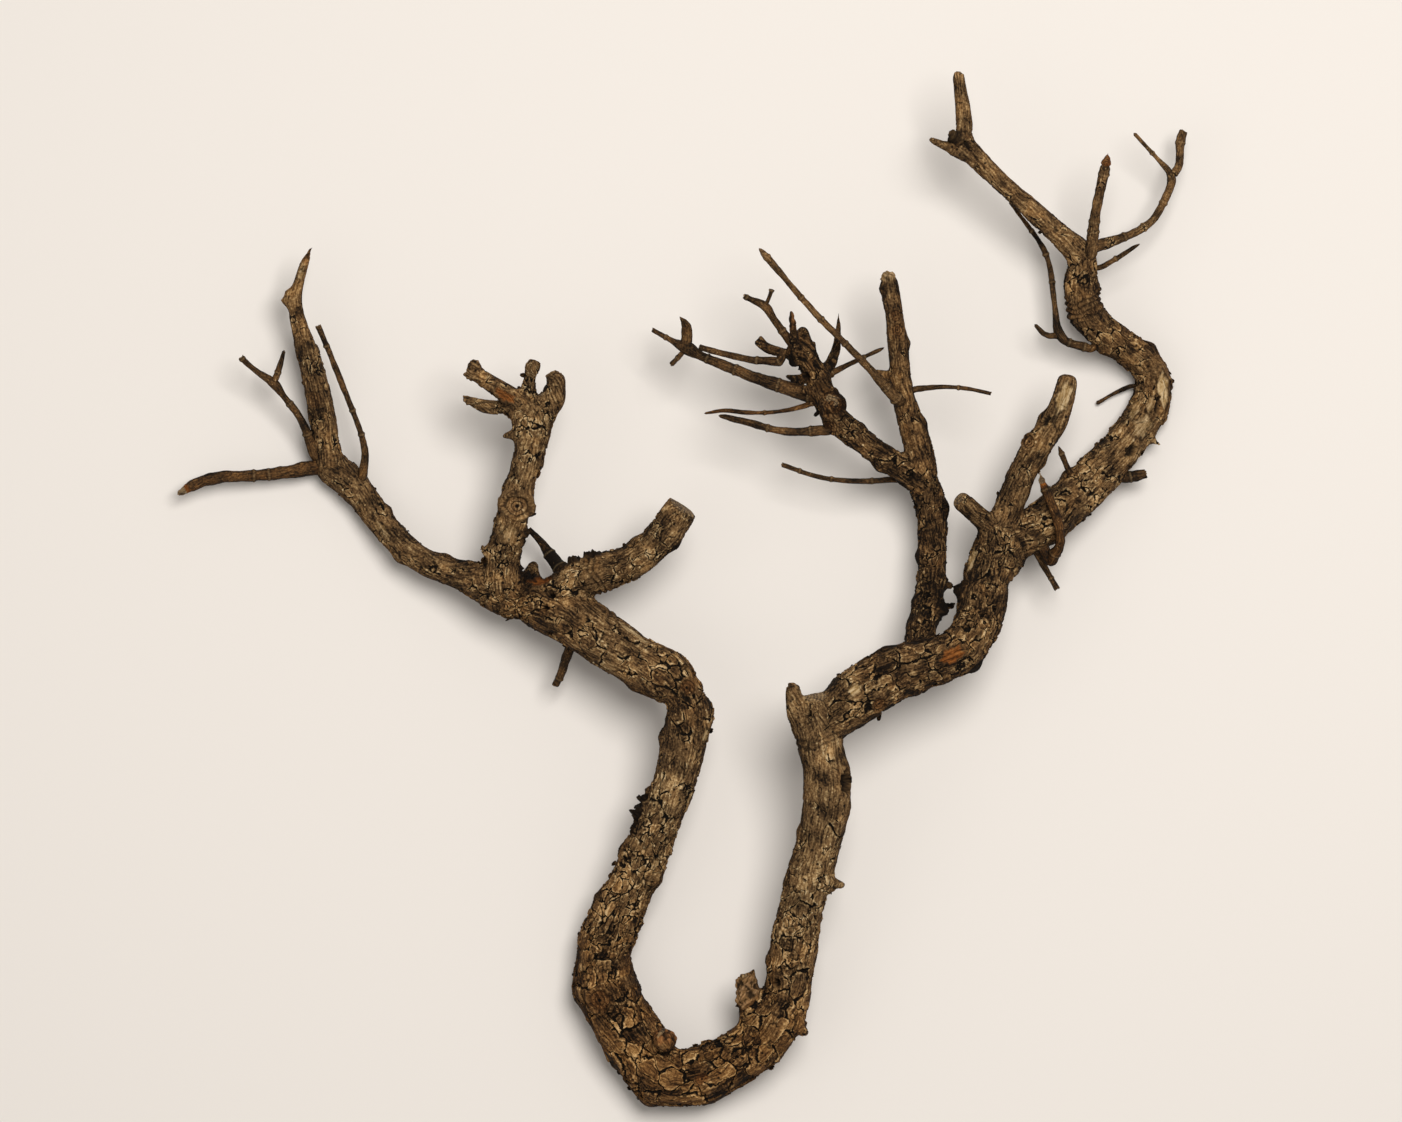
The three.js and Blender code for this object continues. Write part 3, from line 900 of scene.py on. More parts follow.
@dataclass(frozen=True)
class Limb:
    """One limb: its solid, the one beside its base, its bark, and what is on it."""

    name: str
    beside: str
    bark: tuple[Stretch, ...]
    marks: dict[MarkKind, list[tuple[float, ...]]] = field(default_factory=dict)  # a row for each Mark
    spurs: tuple[Spur, ...] = ()
    tip: Tip = Tip.CUT

    def placed(self) -> list[Mark]:
        """Makes its marks from their rows."""
        return [Mark(kind, *row) for kind, rows in self.marks.items() for row in rows]


def rows(kind: type, *values: tuple[float, ...]) -> tuple:
    """Makes one object of a kind for each row of values."""
    return tuple(kind(*row) for row in values)


KNOT, HOLE, WOUND, PEEL, LUMP, STUMP, CLUMP, WRINKLES = MarkKind

# A Stretch's row is its place, then how plated, fine, fibrous, warm and light it is. A mark's row is its
# place, turn, half width, half length, height and rawness, and a Spur's its place, turn, length and radius.
BOUGHS = (
    Limb(
        "bowed_stem", "left_outer_branch",
        bark=rows(
            Stretch,
            (0, 0.75, 0.5, 0.5, 0.45, 0.32), (0.1, 0.45, 0.3, 0.7, 0.25, 0.62),
            (0.17, 0.9, 0.3, 0.3, 0.45, 0.38), (0.24, 0.45, 0.2, 0.5, 0.2, 0.62),
            (0.32, 0.8, 0.9, 0.4, 0.3, 0.55), (0.4, 0.95, 0.6, 0.4, 0.55, 0.45),
            (0.48, 0.9, 0.1, 0.5, 0.75, 0.4), (0.62, 0.95, 0.2, 0.5, 0.85, 0.45),
            (0.7, 0.8, 0.3, 0.5, 0.6, 0.45), (0.8, 0.7, 0.6, 0.6, 0.2, 0.6),
            (0.87, 0.3, 0.4, 1, 0.15, 0.55), (1, 0.3, 0.3, 1, 0.15, 0.55),
        ),
        marks={
            HOLE: [
                (0.025, -28, 1.5, 2.2, 3), (0.034, 0, 1.3, 1.6, 3), (0.03, -70, 2, 3, 3),
                (0.3, 72, 1.4, 6.5, 3), (0.27, 80, 1.2, 4.5, 2.5), (0.71, -35, 1.6, 2, 2.5),
                (0.899, 52, 2.2, 4.8, 3.5), (0.974, 0, 1.2, 1.8, 2),
            ],
            WOUND: [(0.01, -62, 3.6, 5, 1.6)],
            PEEL: [(0.1, -62, 1.3, 8, 0.5, 0.6), (0.2, -54, 1.6, 3.5, 0.6), (0.984, 60, 2, 2.8, 0.4, 0.4)],
            KNOT: [
                (0.467, 14, 4.6, 4.8, 1.2, 0.2), (0.59, 8, 3.2, 3, 0.8, 0.3),
                (0.65, -30, 2.6, 3.4, 0.8, 0.3), (0.17, -30, 3.4, 3.4, 1, 0.2),
            ],
            STUMP: [
                (0.526, -40, 5.4, 6, 0.1, 0.8, 4.4), (0.688, -78, 5.5, 8, 0.3, 0.6, 4),
                (1, 0, 3, 2.4, 0.15, 0.3, -2.2),
            ],
            LUMP: [
                (0.526, -40, 6, 6.5, 1.7, 0.8, 4.4), (0.899, 60, 4.5, 8, 1.4), (0.225, 40, 5, 6, 1.2),
                (0.44, -70, 6, 7, 1.6), (0.5, 60, 5, 6, 1.4), (0.735, -88, 2.6, 3, 1.5),
                (0.345, -80, 2.4, 3.4, 1.4), (0.33, 86, 2.2, 2.6, 1.3), (0.13, 84, 2.6, 3.6, 1.4),
                (0.38, 82, 2.4, 3, 1.5), (0.85, -84, 2.2, 3, 1.2), (0.2, 88, 2.2, 2.6, 1.2),
            ],
            CLUMP: [(0, -95, 4, 4, 3.2), (0.035, -105, 3.4, 5, 2.6), (0.288, 94, 3, 6.5, 4)],
            WRINKLES: [(0.94, 0, 12, 3, 0.3)],
        },
        spurs=rows(Spur, (0.808, 72, 3.4, 1.7, 0, 1), (0.688, 66, 2.4, 2.2, 0, 0.9)),
    ),
    Limb(
        "right_limb", "bowed_stem",
        bark=rows(
            Stretch,
            (0, 0.4, 0.3, 0.9, 0.2, 0.45), (0.2, 0.9, 0.35, 0.5, 0.3, 0.3),
            (0.6, 0.85, 0.6, 0.6, 0.35, 0.3), (1, 0.8, 0.6, 0.8, 0.25, 0.4),
        ),
        marks={
            WOUND: [(0.436, 3, 3, 5.2, 1.2)], KNOT: [(0.182, 41, 3, 3, 1, 0.2)],
            PEEL: [(0.809, -60, 1.7, 5, 0.7, 0.7), (0.12, -15, 2, 3, 0.6)],
            CLUMP: [(0.711, -80, 2.6, 3.4, 2.2)],
            LUMP: [
                (0.72, 60, 4, 6, 1.3), (0.3, 80, 2.2, 3, 1.4), (0.5, 88, 2.6, 3.4, 1.4),
                (0.25, -84, 2.4, 3.4, 1.4), (0.9, 84, 2.4, 3, 1.4),
            ],
        },
    ),
    Limb(
        "right_upper_limb", "right_limb",
        bark=rows(
            Stretch,
            (0, 0.7, 0.6, 0.9, 0.3, 0.42), (0.35, 0.6, 0.5, 1, 0.35, 0.6), (0.55, 0.7, 0.6, 1, 0.45),
            (1, 0.8, 0.9, 0.8, 0.3, 0.3),
        ),
        marks={
            PEEL: [
                (0.529, 36, 2.2, 7, 0.9, 1), (0.505, 0, 1.3, 3.6, 0.8, 0.5), (0.452, 6, 3.6, 5, 0.35, 0.4),
                (0.481, -36, 2, 4.2, 0.35, 0.4),
            ],
            HOLE: [(0.515, 20, 1, 4.4, 2), (0.365, 17, 2, 3.4, 2.4)],
            LUMP: [
                (0.578, 45, 3.5, 4, 1.2), (0.355, 22, 5.5, 6, 1.4), (0.2, -84, 2.4, 3.4, 1.4),
                (0.66, 88, 2.2, 3, 1.3), (0.72, -84, 2.2, 2.8, 1.2), (0.9, 80, 2, 2.4, 1.3),
            ],
            WRINKLES: [(0.86, 0, 8, 6.5, 0.5)],
        },
        spurs=rows(Spur, (0.448, 84, 2.4, 1)),
    ),
    Limb(
        "sawn_right_stub", "right_limb",
        bark=rows(Stretch, (0, 0.5, 0.7, 0.9, 0.2, 0.4), (1, 0.35, 0.6, 0.9, 0.35, 0.6)),
        marks={
            PEEL: [(0.867, 3, 2.6, 6.6, 0.5, 0.75)],
            LUMP: [(0.72, -80, 2, 2.6, 1.2), (0.4, 80, 2.2, 3, 1.3)], KNOT: [(0.484, -48, 3, 3, 1, 0.1)],
            HOLE: [(0.664, -28, 1.3, 2.8, 0.9)],
        },
    ),
    Limb("fork_stub", "right_limb", bark=rows(Stretch, (0, 0.6, 0.7, 0.7, 0.3, 0.45))),
    Limb(
        "inner_branch", "right_limb",
        bark=rows(Stretch, (0, 0.9, 0.7, 0.8, 0.2, 0.12), (1, 0.8, 0.7, 0.8, 0.3, 0.2)),
        marks={
            CLUMP: [(0.365, 62, 4, 4.2, 3.4), (0.257, 68, 3, 4, 2.6), (0.5, 76, 2.4, 3, 2)],
            LUMP: [(0.62, -86, 2.4, 3, 1.4), (0.85, 84, 2.2, 3, 1.4), (0.3, -84, 2.2, 3, 1.2)],
        },
    ),
    Limb(
        "inner_left_branch", "inner_branch",
        bark=rows(Stretch, (0, 0.8, 0.7, 0.8, 0.3, 0.28)),
        marks={
            KNOT: [(0.912, 25, 4.8, 4.8, 1.2, 0.1), (0.76, -55, 3, 3.4, 0.9, 0.1)],
            LUMP: [(0.3, -84, 2, 2.6, 1.2), (0.55, 86, 2, 2.6, 1.2)],
        },
    ),
    Limb(
        "inner_upright", "inner_branch",
        bark=rows(Stretch, (0, 0.6, 0.9, 0.8, 0.3, 0.25), (1, 0.35, 0.9, 0.6, 0.3, 0.45)),
        marks={
            STUMP: [(0.985, 0, 4, 3.4, 0.45, 0.35, -2.5)],
            KNOT: [(0.819, 10, 2.2, 2.6, 0.7, 0.15), (0.705, 11, 2.4, 2.8, 0.7, 0.15)],
            LUMP: [
                (0.68, 88, 1.8, 2.4, 1.2), (0.3, 86, 2, 3, 1.2), (0.9, -40, 2.4, 2.4, 0.9),
                (0.96, -72, 1.8, 2.2, 1.1),
            ],
        },
        spurs=rows(Spur, (0.518, -80, 3.2, 1.7, 30)),
    ),
    Limb(
        "gnarled_head", "inner_left_branch",
        bark=rows(Stretch, (0, 0.8, 0.8, 0.6, 0.35, 0.15)),
        marks={
            STUMP: [(0.6, 0, 2.6, 10, 0.1, 0.55, -1.3, 2)],
            HOLE: [(0.75, 10, 1.6, 2, 2), (0.3, -40, 1.4, 2.6, 2.2)],
            LUMP: [(0.2, 40, 3, 3, 1.2), (0.6, -30, 2.6, 2.6)], CLUMP: [(0.55, -80, 3, 3.4, 1.8)],
        },
        spurs=rows(Spur, (0.36, -84, 5, 1.6, 50), (0.1, -84, 2, 1.6, 20), (0.42, 70, 3, 1.6, 20, 0.4)),
    ),
    Limb(
        "left_outer_branch", "bowed_stem",
        bark=rows(
            Stretch,
            (0, 0.8, 0.5, 0.5, 0.45, 0.35), (0.35, 0.4, 0.4, 0.8, 0.2, 0.52), (1, 0.5, 0.7, 0.6, 0.2, 0.45),
        ),
        marks={
            CLUMP: [(0.063, 88, 4, 4, 3)], KNOT: [(0.179, 66, 2.6, 2.6, 0.8, 0.1)],
            LUMP: [
                (0.93, 0, 5, 5), (0.5, -84, 2.2, 3, 1.2), (0.34, 84, 2.2, 2.8, 1.2),
                (0.66, 80, 2.2, 2.8, 1.2),
            ],
            PEEL: [(0.62, -10, 1.6, 4.5, 0.4, 0.3)],
        },
        spurs=rows(Spur, (0.179, 80, 4.4, 2.6, 15, 0.9)),
    ),
    Limb(
        "left_upright", "left_outer_branch",
        bark=rows(Stretch, (0, 0.7, 0.7, 0.4), (0.6, 0.6, 0.9, 0.3, 0.25, 0.6), (1, 0.9, 0.7, 0.5, 0.4)),
        marks={
            KNOT: [(0.293, 7, 4.9, 4.5, 1.8, 0.1)],
            LUMP: [
                (0.293, 7, 6.5, 6, 1.2), (0.48, 86, 2.2, 2.8, 1.2), (0.4, -84, 2.2, 2.8, 1.2),
                (0.74, 10, 2.6, 3, 1.6),
            ],
            PEEL: [(0.18, 12, 3, 4, 0.3, 0.25)], WOUND: [(0.8, -40, 3, 4.4, 1.2)],
            HOLE: [(0.8, 12, 2, 3, 3), (0.87, 15, 1.6, 2.2, 2.5), (0.93, 25, 0.9, 1.3, 1.2)],
            STUMP: [
                (0.99, 0, 4.6, 3.2, 0.35, 0.4, -3.4), (0.812, 90, 4.2, 4.2, 0.3, 0.3, 5),
                (0.764, 90, 4, 4.4, 0.35, 0.25, 6), (0.97, 0, 2.4, 4, 0.2, 0.2, -1.4, 1),
            ],
            CLUMP: [(0.168, 92, 2.6, 3, 2.2)],
        },
        spurs=rows(
            Spur,
            (0.62, -84, 3.6, 1.7, -10, 0.7), (0.985, -50, 1.8, 1.7, 55), (0.985, 50, 1.8, 1.6, 60),
            (0.97, 10, 2, 1.8, 65),
        ),
    ),
    Limb(
        "left_stub", "bowed_stem",
        bark=rows(Stretch, (0, 0.8, 0.8), (1, 0.6, 0.8, 0.5, 0.25, 0.55)),
        marks={
            WRINKLES: [(0.2, 0, 9, 3.4, 0.5)], CLUMP: [(0.25, -92, 3.4, 4, 2.4), (0.1, -84, 3, 3.4, 2.6)],
            LUMP: [(0.6, -86, 2.4, 3, 1.2), (0.78, 86, 2.2, 2.8, 1.2)],
        },
    ),
    Limb(
        "left_spike", "left_outer_branch",
        bark=rows(
            Stretch,
            (0, 0.8, 0.7, 0.8, 0.3, 0.46), (0.45, 0.6, 0.7, 0.9), (1, 0.3, 0.8, 0.8, 0.5, 0.6),
        ),
        marks={
            STUMP: [(1, 0, 2, 7, 0.1, 0.6)], PEEL: [(0.9, 10, 0.9, 2.2, 0.3, 0.6)],
            KNOT: [(0.26, -20, 3, 3.8, 0.6, 0.1)],
        },
        spurs=rows(Spur, (0.745, -75, 2.6, 1.7, 25)),
    ),
    Limb(
        "top_left_branch", "right_upper_limb",
        bark=rows(Stretch, (0, 0.55, 0.9, 1, 0.3, 0.55)),
        marks={
            CLUMP: [(0.97, -10, 2.6, 2.6, 1.6)], LUMP: [(0.9, -40, 3, 3.4, 1.2)],
            HOLE: [(0.9, 10, 1.2, 2.2, 1.6)],
        },
        spurs=rows(Spur, (0.93, -66, 13, 2, 66, 0.7), (1, -10, 3.4, 1.6, 62, 0.4)),
    ),
    Limb(
        "top_left_stub", "top_left_branch",
        bark=rows(Stretch, (0, 0.4, 0.9, 0.8, 0.3, 0.55)),
        marks={STUMP: [(1, 0, 3.2, 2.2, 0.2, 0.4, -2.4)]},
    ),
)

TWIG = Stretch(plated=0.12, fine=0.5, fibrous=0.8, warm=0.35, tone=0.2)


def twig(name: str, beside: str, tip: Tip = Tip.CUT, **look: float) -> Limb:
    """Describes a twig, whose bark is the usual twig bark but for a few values."""
    return Limb(name, beside, (replace(TWIG, **look),), tip=tip)


TWIGS = (
    twig("torn_twig", "right_upper_limb", Tip.TORN, warm=0.9),
    twig("under_twig", "right_upper_limb"),
    twig("mid_limb_twig", "right_upper_limb"),
    twig("elbow_stub", "right_upper_limb"),
    twig("back_twig", "right_upper_limb", tone=0.1),
    twig("side_twig", "right_upper_limb"),
    twig("crown_spike", "right_upper_limb", Tip.BUD, plated=0.3, tone=0.4),
    twig("right_curl", "right_upper_limb", plated=0.3, tone=0.4),
    twig("neck_twig", "right_upper_limb"),
    twig("long_left_twig", "gnarled_head"),
    twig("upper_left_twig", "gnarled_head"),
    twig("forked_twig", "gnarled_head"),
    twig("cross_twig", "gnarled_head"),
    twig("bent_twig", "gnarled_head", warm=0.8),
    twig("low_twig", "inner_left_branch", tone=0.25),
    twig("lowest_twig", "inner_branch", tone=0.15),
    twig("crossing_twig", "inner_upright", tone=0.42),
    twig("outer_twig", "inner_upright"),
    twig("under_stub", "bowed_stem"),
    twig("tucked_twig", "left_stub", tone=0.0),
    twig("left_thin_twig", "left_outer_branch"),
    twig("left_snapped_twig", "left_outer_branch", Tip.TORN, warm=0.6),
    twig("left_bow_twig", "left_outer_branch"),
)


def rest(obj: Thing, floor: float) -> None:
    """Presses what reaches below the floor flat against it, as where the bark is worn by lying.

    Args:
        obj: a piece.
        floor: the floor's height in millimetres.
    """
    places = spots_of(obj.data)
    places[:, 2] = np.maximum(places[:, 2], floor)
    obj.data.vertices.foreach_set("co", (places * MM).astype(np.float32).ravel())
    obj.data.update()


class Surface:
    """What is known of the limbs' solids: their shapes and their centrelines."""

    def __init__(self) -> None:
        """Reads every limb's solid and traces it."""
        self.limbs = {limb.name: limb for limb in (*BOUGHS, *TWIGS)}
        self.solids = {name: Solid.of_node(name) for name in self.limbs}
        self.lines: dict[str, list[Line]] = {}
        for limb in BOUGHS:
            self.lines[limb.name] = self._trace(limb, longest=2.6, band=5.5, least=4.0)
        for limb in TWIGS:
            self.lines[limb.name] = self._trace(limb, longest=1.3, band=2.6, least=1.5)

    def _trace(self, limb: Limb, longest: float, band: float, least: float) -> list[Line]:
        """Traces one limb from the side where it meets its neighbour.

        Args:
            limb: the limb.
            longest: the longest edge that its surface is cut into first.
            band: the width of the tracer's bands.
            least: the shortest prong that is kept.

        Returns:
            Its centrelines.
        """
        fine = self.solids[limb.name].refined(longest)
        away = gaps(fine.verts, surface_of([self.solids[limb.beside]]))
        return Tracer(fine, away < away.min() + 0.5, band).lines(least)


# ---- the bark's pattern


@dataclass(frozen=True)
class BarkPattern:
    """The plates, cracks and fibres of bark, in unbent places. The relief and the colour share it.

    Each size is in millimetres, and is a number or a signal.
    """

    plate_width: float | Signal = 6.4
    plate_length: float | Signal = 9.0
    small_share: float = 0.52
    crack_width: float | Signal = 0.4
    fibre_width: float | Signal = 0.75
    fibre_length: float | Signal = 8.0
    ripple_size: float = 4.6
    pit_spacing: float = 3.4

    def _plates(self, place: Signal, shrink: float, start: float) -> tuple[Signal, Signal, Signal]:
        """Draws one size of plates.

        Args:
            place: where.
            shrink: their size, as a share of the large ones.
            start: an offset that makes their pattern their own.

        Returns:
            The distance to the plate's edge, its tilt and its random number.
        """
        size = place.into(
            "ShaderNodeCombineXYZ", {0: self.plate_width, 1: self.plate_width, 2: self.plate_length}
        )
        cell = place / (size * shrink) + (start, 0.0, 0.0)
        inputs = {"Vector": cell, "Scale": 1.0}
        edge = cell.into("ShaderNodeTexVoronoi", inputs, "Distance", feature="DISTANCE_TO_EDGE")
        centre = cell.into("ShaderNodeTexVoronoi", inputs, "Position")
        chance = centre.other("Color")
        tilt = (cell - centre).maths("DOT_PRODUCT", chance - 0.5).other("Value")
        own = chance.into("ShaderNodeSeparateXYZ", {0: chance})
        return edge * self.plate_width * shrink, tilt * 1.8, own

    def draw(self, place: Signal, plated: Signal, fine: Signal) -> dict[str, Signal]:
        """Draws the pattern.

        Args:
            place: the unbent place.
            plated: how far the bark has broken into plates.
            fine: how small its plates are.

        Returns:
            The pattern's parts: crack, groove (a wider crack), rim, tilt, own, chip, ripple, pit,
            speck, fibre, grit and patch.
        """
        drift = place.noise(10.0, 1.0, "Color")
        ragged = place.noise(1.7, 3.0, "Color")
        moved = place + drift * 4.2 + ragged * 0.8
        patch = place.noise(9.0, 3.0)
        large = self._plates(moved, 1.0, 0.0)
        small = self._plates(moved, self.small_share, 31.7)
        pick = (fine + patch * 0.8).eased(0.46, 0.54)
        edge, tilt, own = (a.mixed(b, pick) for a, b in zip(large, small))
        width = place.noise(3.1, 1.0).eased(-0.5, 0.5, 0.35, 1.5) * self.crack_width * (1.0 - pick * 0.3)
        spread = (plated * 2.2).maths("MINIMUM", 1.0) * 1.7
        opened = (plated + place.noise(7.0, 1.5) * spread).eased(0.45, 0.62)
        depth = edge / width
        crack = depth.eased(0.95, 0.3) * opened
        chip = (small[0] / width).eased(0.55, 0.1) * place.noise(5.0, 1.0).eased(0.0, 0.25) * plated
        bend = place / (1.0, 1.0, 2.1)
        wave = bend.noise(self.ripple_size, 1.5) * 16.0
        ripple = wave.maths("ABSOLUTE").eased(0.75, 0.15) * place.noise(4.2, 1.0).eased(-0.06, 0.14)
        inputs = {"Vector": place, "Scale": 1 / self.pit_spacing}
        hole = place.into("ShaderNodeTexVoronoi", inputs, "Distance")
        chance = hole.into("ShaderNodeSeparateXYZ", {0: hole.other("Color")})
        pit = hole.eased(0.2, 0.1) * chance.eased(0.6, 0.65)
        speck = hole.eased(0.17, 0.08) * chance.eased(0.36, 0.3)
        thread = place.into(
            "ShaderNodeCombineXYZ", {0: self.fibre_width, 1: self.fibre_width, 2: self.fibre_length}
        )
        fibre = ((place + drift * 1.6) / thread).noise(1.0, 4.0)
        drawn = {"crack": crack, "tilt": tilt, "own": own, "chip": chip, "ripple": ripple, "pit": pit}
        drawn |= {"speck": speck, "fibre": fibre, "patch": patch}
        drawn["groove"] = depth.eased(1.7, 0.2) * opened
        drawn["rim"] = depth.eased(3.0, 1.2) * opened - crack
        drawn["grit"] = place.noise(0.8, 4.0)
        return drawn


# ---- finishes


def named(tree: Tree, key: str, output: str = "Fac") -> Signal:
    """Reads one of the surface's attributes in a material."""
    return Signal(tree, put(tree, "ShaderNodeAttribute", attribute_name=key).outputs[output])


def blank(name: str) -> tuple[Material, Tree]:
    """Starts a material with an empty node tree.

    Args:
        name: the material's name.

    Returns:
        The material and its tree.
    """
    made = bpy.data.materials.new(name)
    made.use_nodes = True
    made.node_tree.nodes.clear()
    return made, made.node_tree


def dress(tree: Tree, inputs: dict, height: Signal | None = None, depth: float = 0.0) -> None:
    """Ends a material in its surface shader.

    Args:
        tree: the material's tree.
        inputs: what feeds the shader.
        height: the fine relief, if it has one.
        depth: how deep that is, in millimetres.
    """
    if height:
        relief = {"Height": height, "Distance": depth * MM, "Strength": 1.0}
        inputs["Normal"] = height.into("ShaderNodeBump", relief)
    shader = put(tree, "ShaderNodeBsdfPrincipled", inputs)
    put(tree, "ShaderNodeOutputMaterial", {"Surface": shader.outputs[0]})


@dataclass(frozen=True)
class Bark:
    """Bark, grown and then weathered: a dull surface whose plates and cracks are real relief.

    The colour follows the relief's own pattern, with painted shade in each crack and a painted highlight on
    each lifted edge. Fibres and grit under half a millimetre are colour and bump only.
    """

    name: str
    pattern: BarkPattern
    shades: tuple[tuple[float, str], ...]
    # The colour of painted shade in cracks, holes and crevices, and of the knots' and clumps' own dark.
    crack: str = "#0f0904"
    warm_tint: str = "#ffe9cc"
    cool_tint: str = "#e9eef2"
    roughness: float = 0.88
    bump_mm: float = 0.55
    contrast: float = 1.0  # of the fibres and the grit

    def _colour(self, drawn: dict[str, Signal], look: dict[str, Signal]) -> Signal:
        """Works the colour out.

        Args:
            drawn: the pattern's parts.
            look: the surface's attributes.

        Returns:
            The colour.
        """
        broken = look["plated"]
        light = look["tone"] * 0.62 + 0.08
        # Each plate's own tone, and painted light from its tilt: lighter on its lifted side, darker on its
        # sunk side.
        light = light + (drawn["own"] - 0.5) * 0.38 * broken + drawn["tilt"] * 0.28 * broken
        small = drawn["fibre"] * 0.55 + drawn["grit"] * 0.42
        light = light + drawn["patch"] * 0.46 + small * self.contrast * 1.2
        # A painted highlight on the plates' raised rims, and pale specks.
        light = light + drawn["rim"] * 0.28 + drawn["speck"] * 0.4
        colour = light.ramp(self.shades)
        warmth = (look["warm"] + drawn["patch"] * 0.8 + drawn["own"] * 0.4 - 0.2).eased(0.1, 1.1)
        colour = colour.tinted(linear(self.warm_tint), warmth, "MULTIPLY")
        coolness = (0.35 - look["warm"] - drawn["patch"] * 0.9).eased(0.0, 0.6)
        colour = colour.tinted(linear(self.cool_tint), coolness, "MULTIPLY")
        wood = (drawn["fibre"] + drawn["grit"] * 0.4) * 0.5 + 0.5
        bare = wood.ramp(((0.22, "#2a1509"), (0.4, "#57300f"), (0.56, "#884c1c"), (0.8, "#ba7c3c")))
        pale = wood.ramp(((0.2, "#644a2b"), (0.42, "#ad8b59"), (0.68, "#dcc196")))
        colour = colour.tinted(bare, look["bare"]).tinted(pale, look["pale"])
        whole = 1.0 - look["bare"].maths("MAXIMUM", look["pale"]) * 0.8
        # Painted shade in the cracks, chips, ripples and pits.
        dark = drawn["crack"].maths("MAXIMUM", drawn["chip"] * 0.85).maths("MAXIMUM", drawn["ripple"] * 0.75)
        dark = dark.maths("MAXIMUM", drawn["pit"] * 0.9) * whole
        rings = ((look["knot"] + drawn["patch"] * 0.12 + drawn["grit"] * 0.06) * KNOT_RINGS).maths("SINE")
        ringed = rings.eased(0.2, 1.0) * look["knot"].eased(1.25, 1.05)
        ringed = ringed * (drawn["patch"] + drawn["fibre"] * 0.7).eased(-0.5, 0.4, 0.2, 0.9)
        dark = dark * look["knot"].eased(0.8, 1.2)
        dark = dark.maths("MAXIMUM", ringed).maths("MAXIMUM", look["knot"].eased(0.24, 0.12))
        # The surface's dark: painted shade in holes, crags, wrinkles and round twig knobs, the dark edges of
        # peeled patches, and the clumps' own dark.
        dark = dark.maths("MAXIMUM", look["dark"])
        return colour.tinted(linear(self.crack), dark)

    def material(self) -> Material:
        """Builds the bark's material.

        Returns:
            The material.
        """
        made, tree = blank(self.name)
        keys = ("plated", "fine", "bare", "pale", "warm", "tone", "dark", "knot")
        look = {key: named(tree, key) for key in keys}
        drawn = self.pattern.draw(named(tree, "straight", "Vector"), look["plated"], look["fine"])
        colour = self._colour(drawn, look)
        height = drawn["rim"] * 0.3 - drawn["crack"] - drawn["chip"] * 0.6 - drawn["ripple"] * 0.6
        height = height - drawn["pit"] * 0.7 + drawn["speck"] * 0.6
        height = height + drawn["fibre"] * 0.85 + drawn["grit"] * 0.45
        rough = drawn["grit"].eased(-0.4, 0.4, self.roughness - 0.08, self.roughness + 0.08)
        inputs = {"Base Color": colour, "Roughness": rough, "IOR": 1.45, "Specular IOR Level": 0.15}
        dress(tree, inputs, height, self.bump_mm)
        return made


@dataclass(frozen=True)
class CutWood:
    """Sawn or snapped wood, weathered: growth rings round the pith, and cracks that run out from it."""

    name: str = "weathered_cut_wood"
    ring_mm: float = 1.1
    roughness: float = 0.8
    bump_mm: float = 0.4

    def material(self) -> Material:
        """Builds the cut wood's material.

        Returns:
            The material.
        """
        made, tree = blank(self.name)
        place = named(tree, "straight", "Vector")
        flat = place * (1.0, 1.0, 0.0)
        reach = flat.maths("LENGTH").other("Value")
        rings = ((reach + flat.noise(2.4, 2.0) * 0.7) * (TURN / self.ring_mm)).maths("SINE")
        grain = place.noise(0.7, 4.0)
        spread = flat.into("ShaderNodeVectorMath", {0: flat}, operation="NORMALIZE")
        split = (spread.noise(0.22, 2.0) * 9.0).maths("ABSOLUTE").eased(0.9, 0.2) * reach.eased(0.3, 1.5)
        light = rings * 0.13 + grain * 0.35 + flat.noise(3.0, 2.0) * 0.3 + 0.5
        colour = light.ramp(((0.1, "#2c1c0e"), (0.35, "#5f462a"), (0.55, "#8d6f47"), (0.8, "#b8986a")))
        # Painted shade in the splits.
        colour = colour.tinted(linear("#140c06"), split * 0.8)
        height = rings * 0.25 + grain * 0.6 - split
        inputs = {"Base Color": colour, "Roughness": self.roughness, "IOR": 1.5}
        dress(tree, inputs, height, self.bump_mm)
        return made


SHADES = (
    (0.0, "#150d06"), (0.16, "#3a2815"), (0.33, "#5a4228"), (0.5, "#7a5d3b"), (0.66, "#9a7c53"),
    (0.82, "#bd9f73"), (1.0, "#d6bd93"),
)
OLD_BARK = Bark("old_plated_bark", BarkPattern(), SHADES)
YOUNG_BARK = Bark(
    "young_twig_bark",
    BarkPattern(
        plate_width=2.0, plate_length=4.0, crack_width=0.22, fibre_width=0.3, fibre_length=5.0,
        ripple_size=1.9, pit_spacing=1.6,
    ),
    SHADES,
    roughness=0.78,
    bump_mm=0.2,
    contrast=0.7,
)


# ---- bark relief


def start_tree(name: str, sizes: dict[str, float]) -> tuple[Tree, dict[str, Signal]]:
    """Starts a Geometry Nodes tree.

    Args:
        name: the tree's name.
        sizes: its inputs, with their values.

    Returns:
        The tree and the signals of its inputs.
    """
    tree = bpy.data.node_groups.new(name, "GeometryNodeTree")
    tree.interface.new_socket("Geometry", in_out="INPUT", socket_type="NodeSocketGeometry")
    for key, value in sizes.items():
        kind = "NodeSocketInt" if isinstance(value, int) else "NodeSocketFloat"
        tree.interface.new_socket(key, in_out="INPUT", socket_type=kind).default_value = value
    tree.interface.new_socket("Geometry", in_out="OUTPUT", socket_type="NodeSocketGeometry")
    given = put(tree, "NodeGroupInput").outputs
    return tree, {key: Signal(tree, given[key]) for key in ("Geometry", *sizes)}


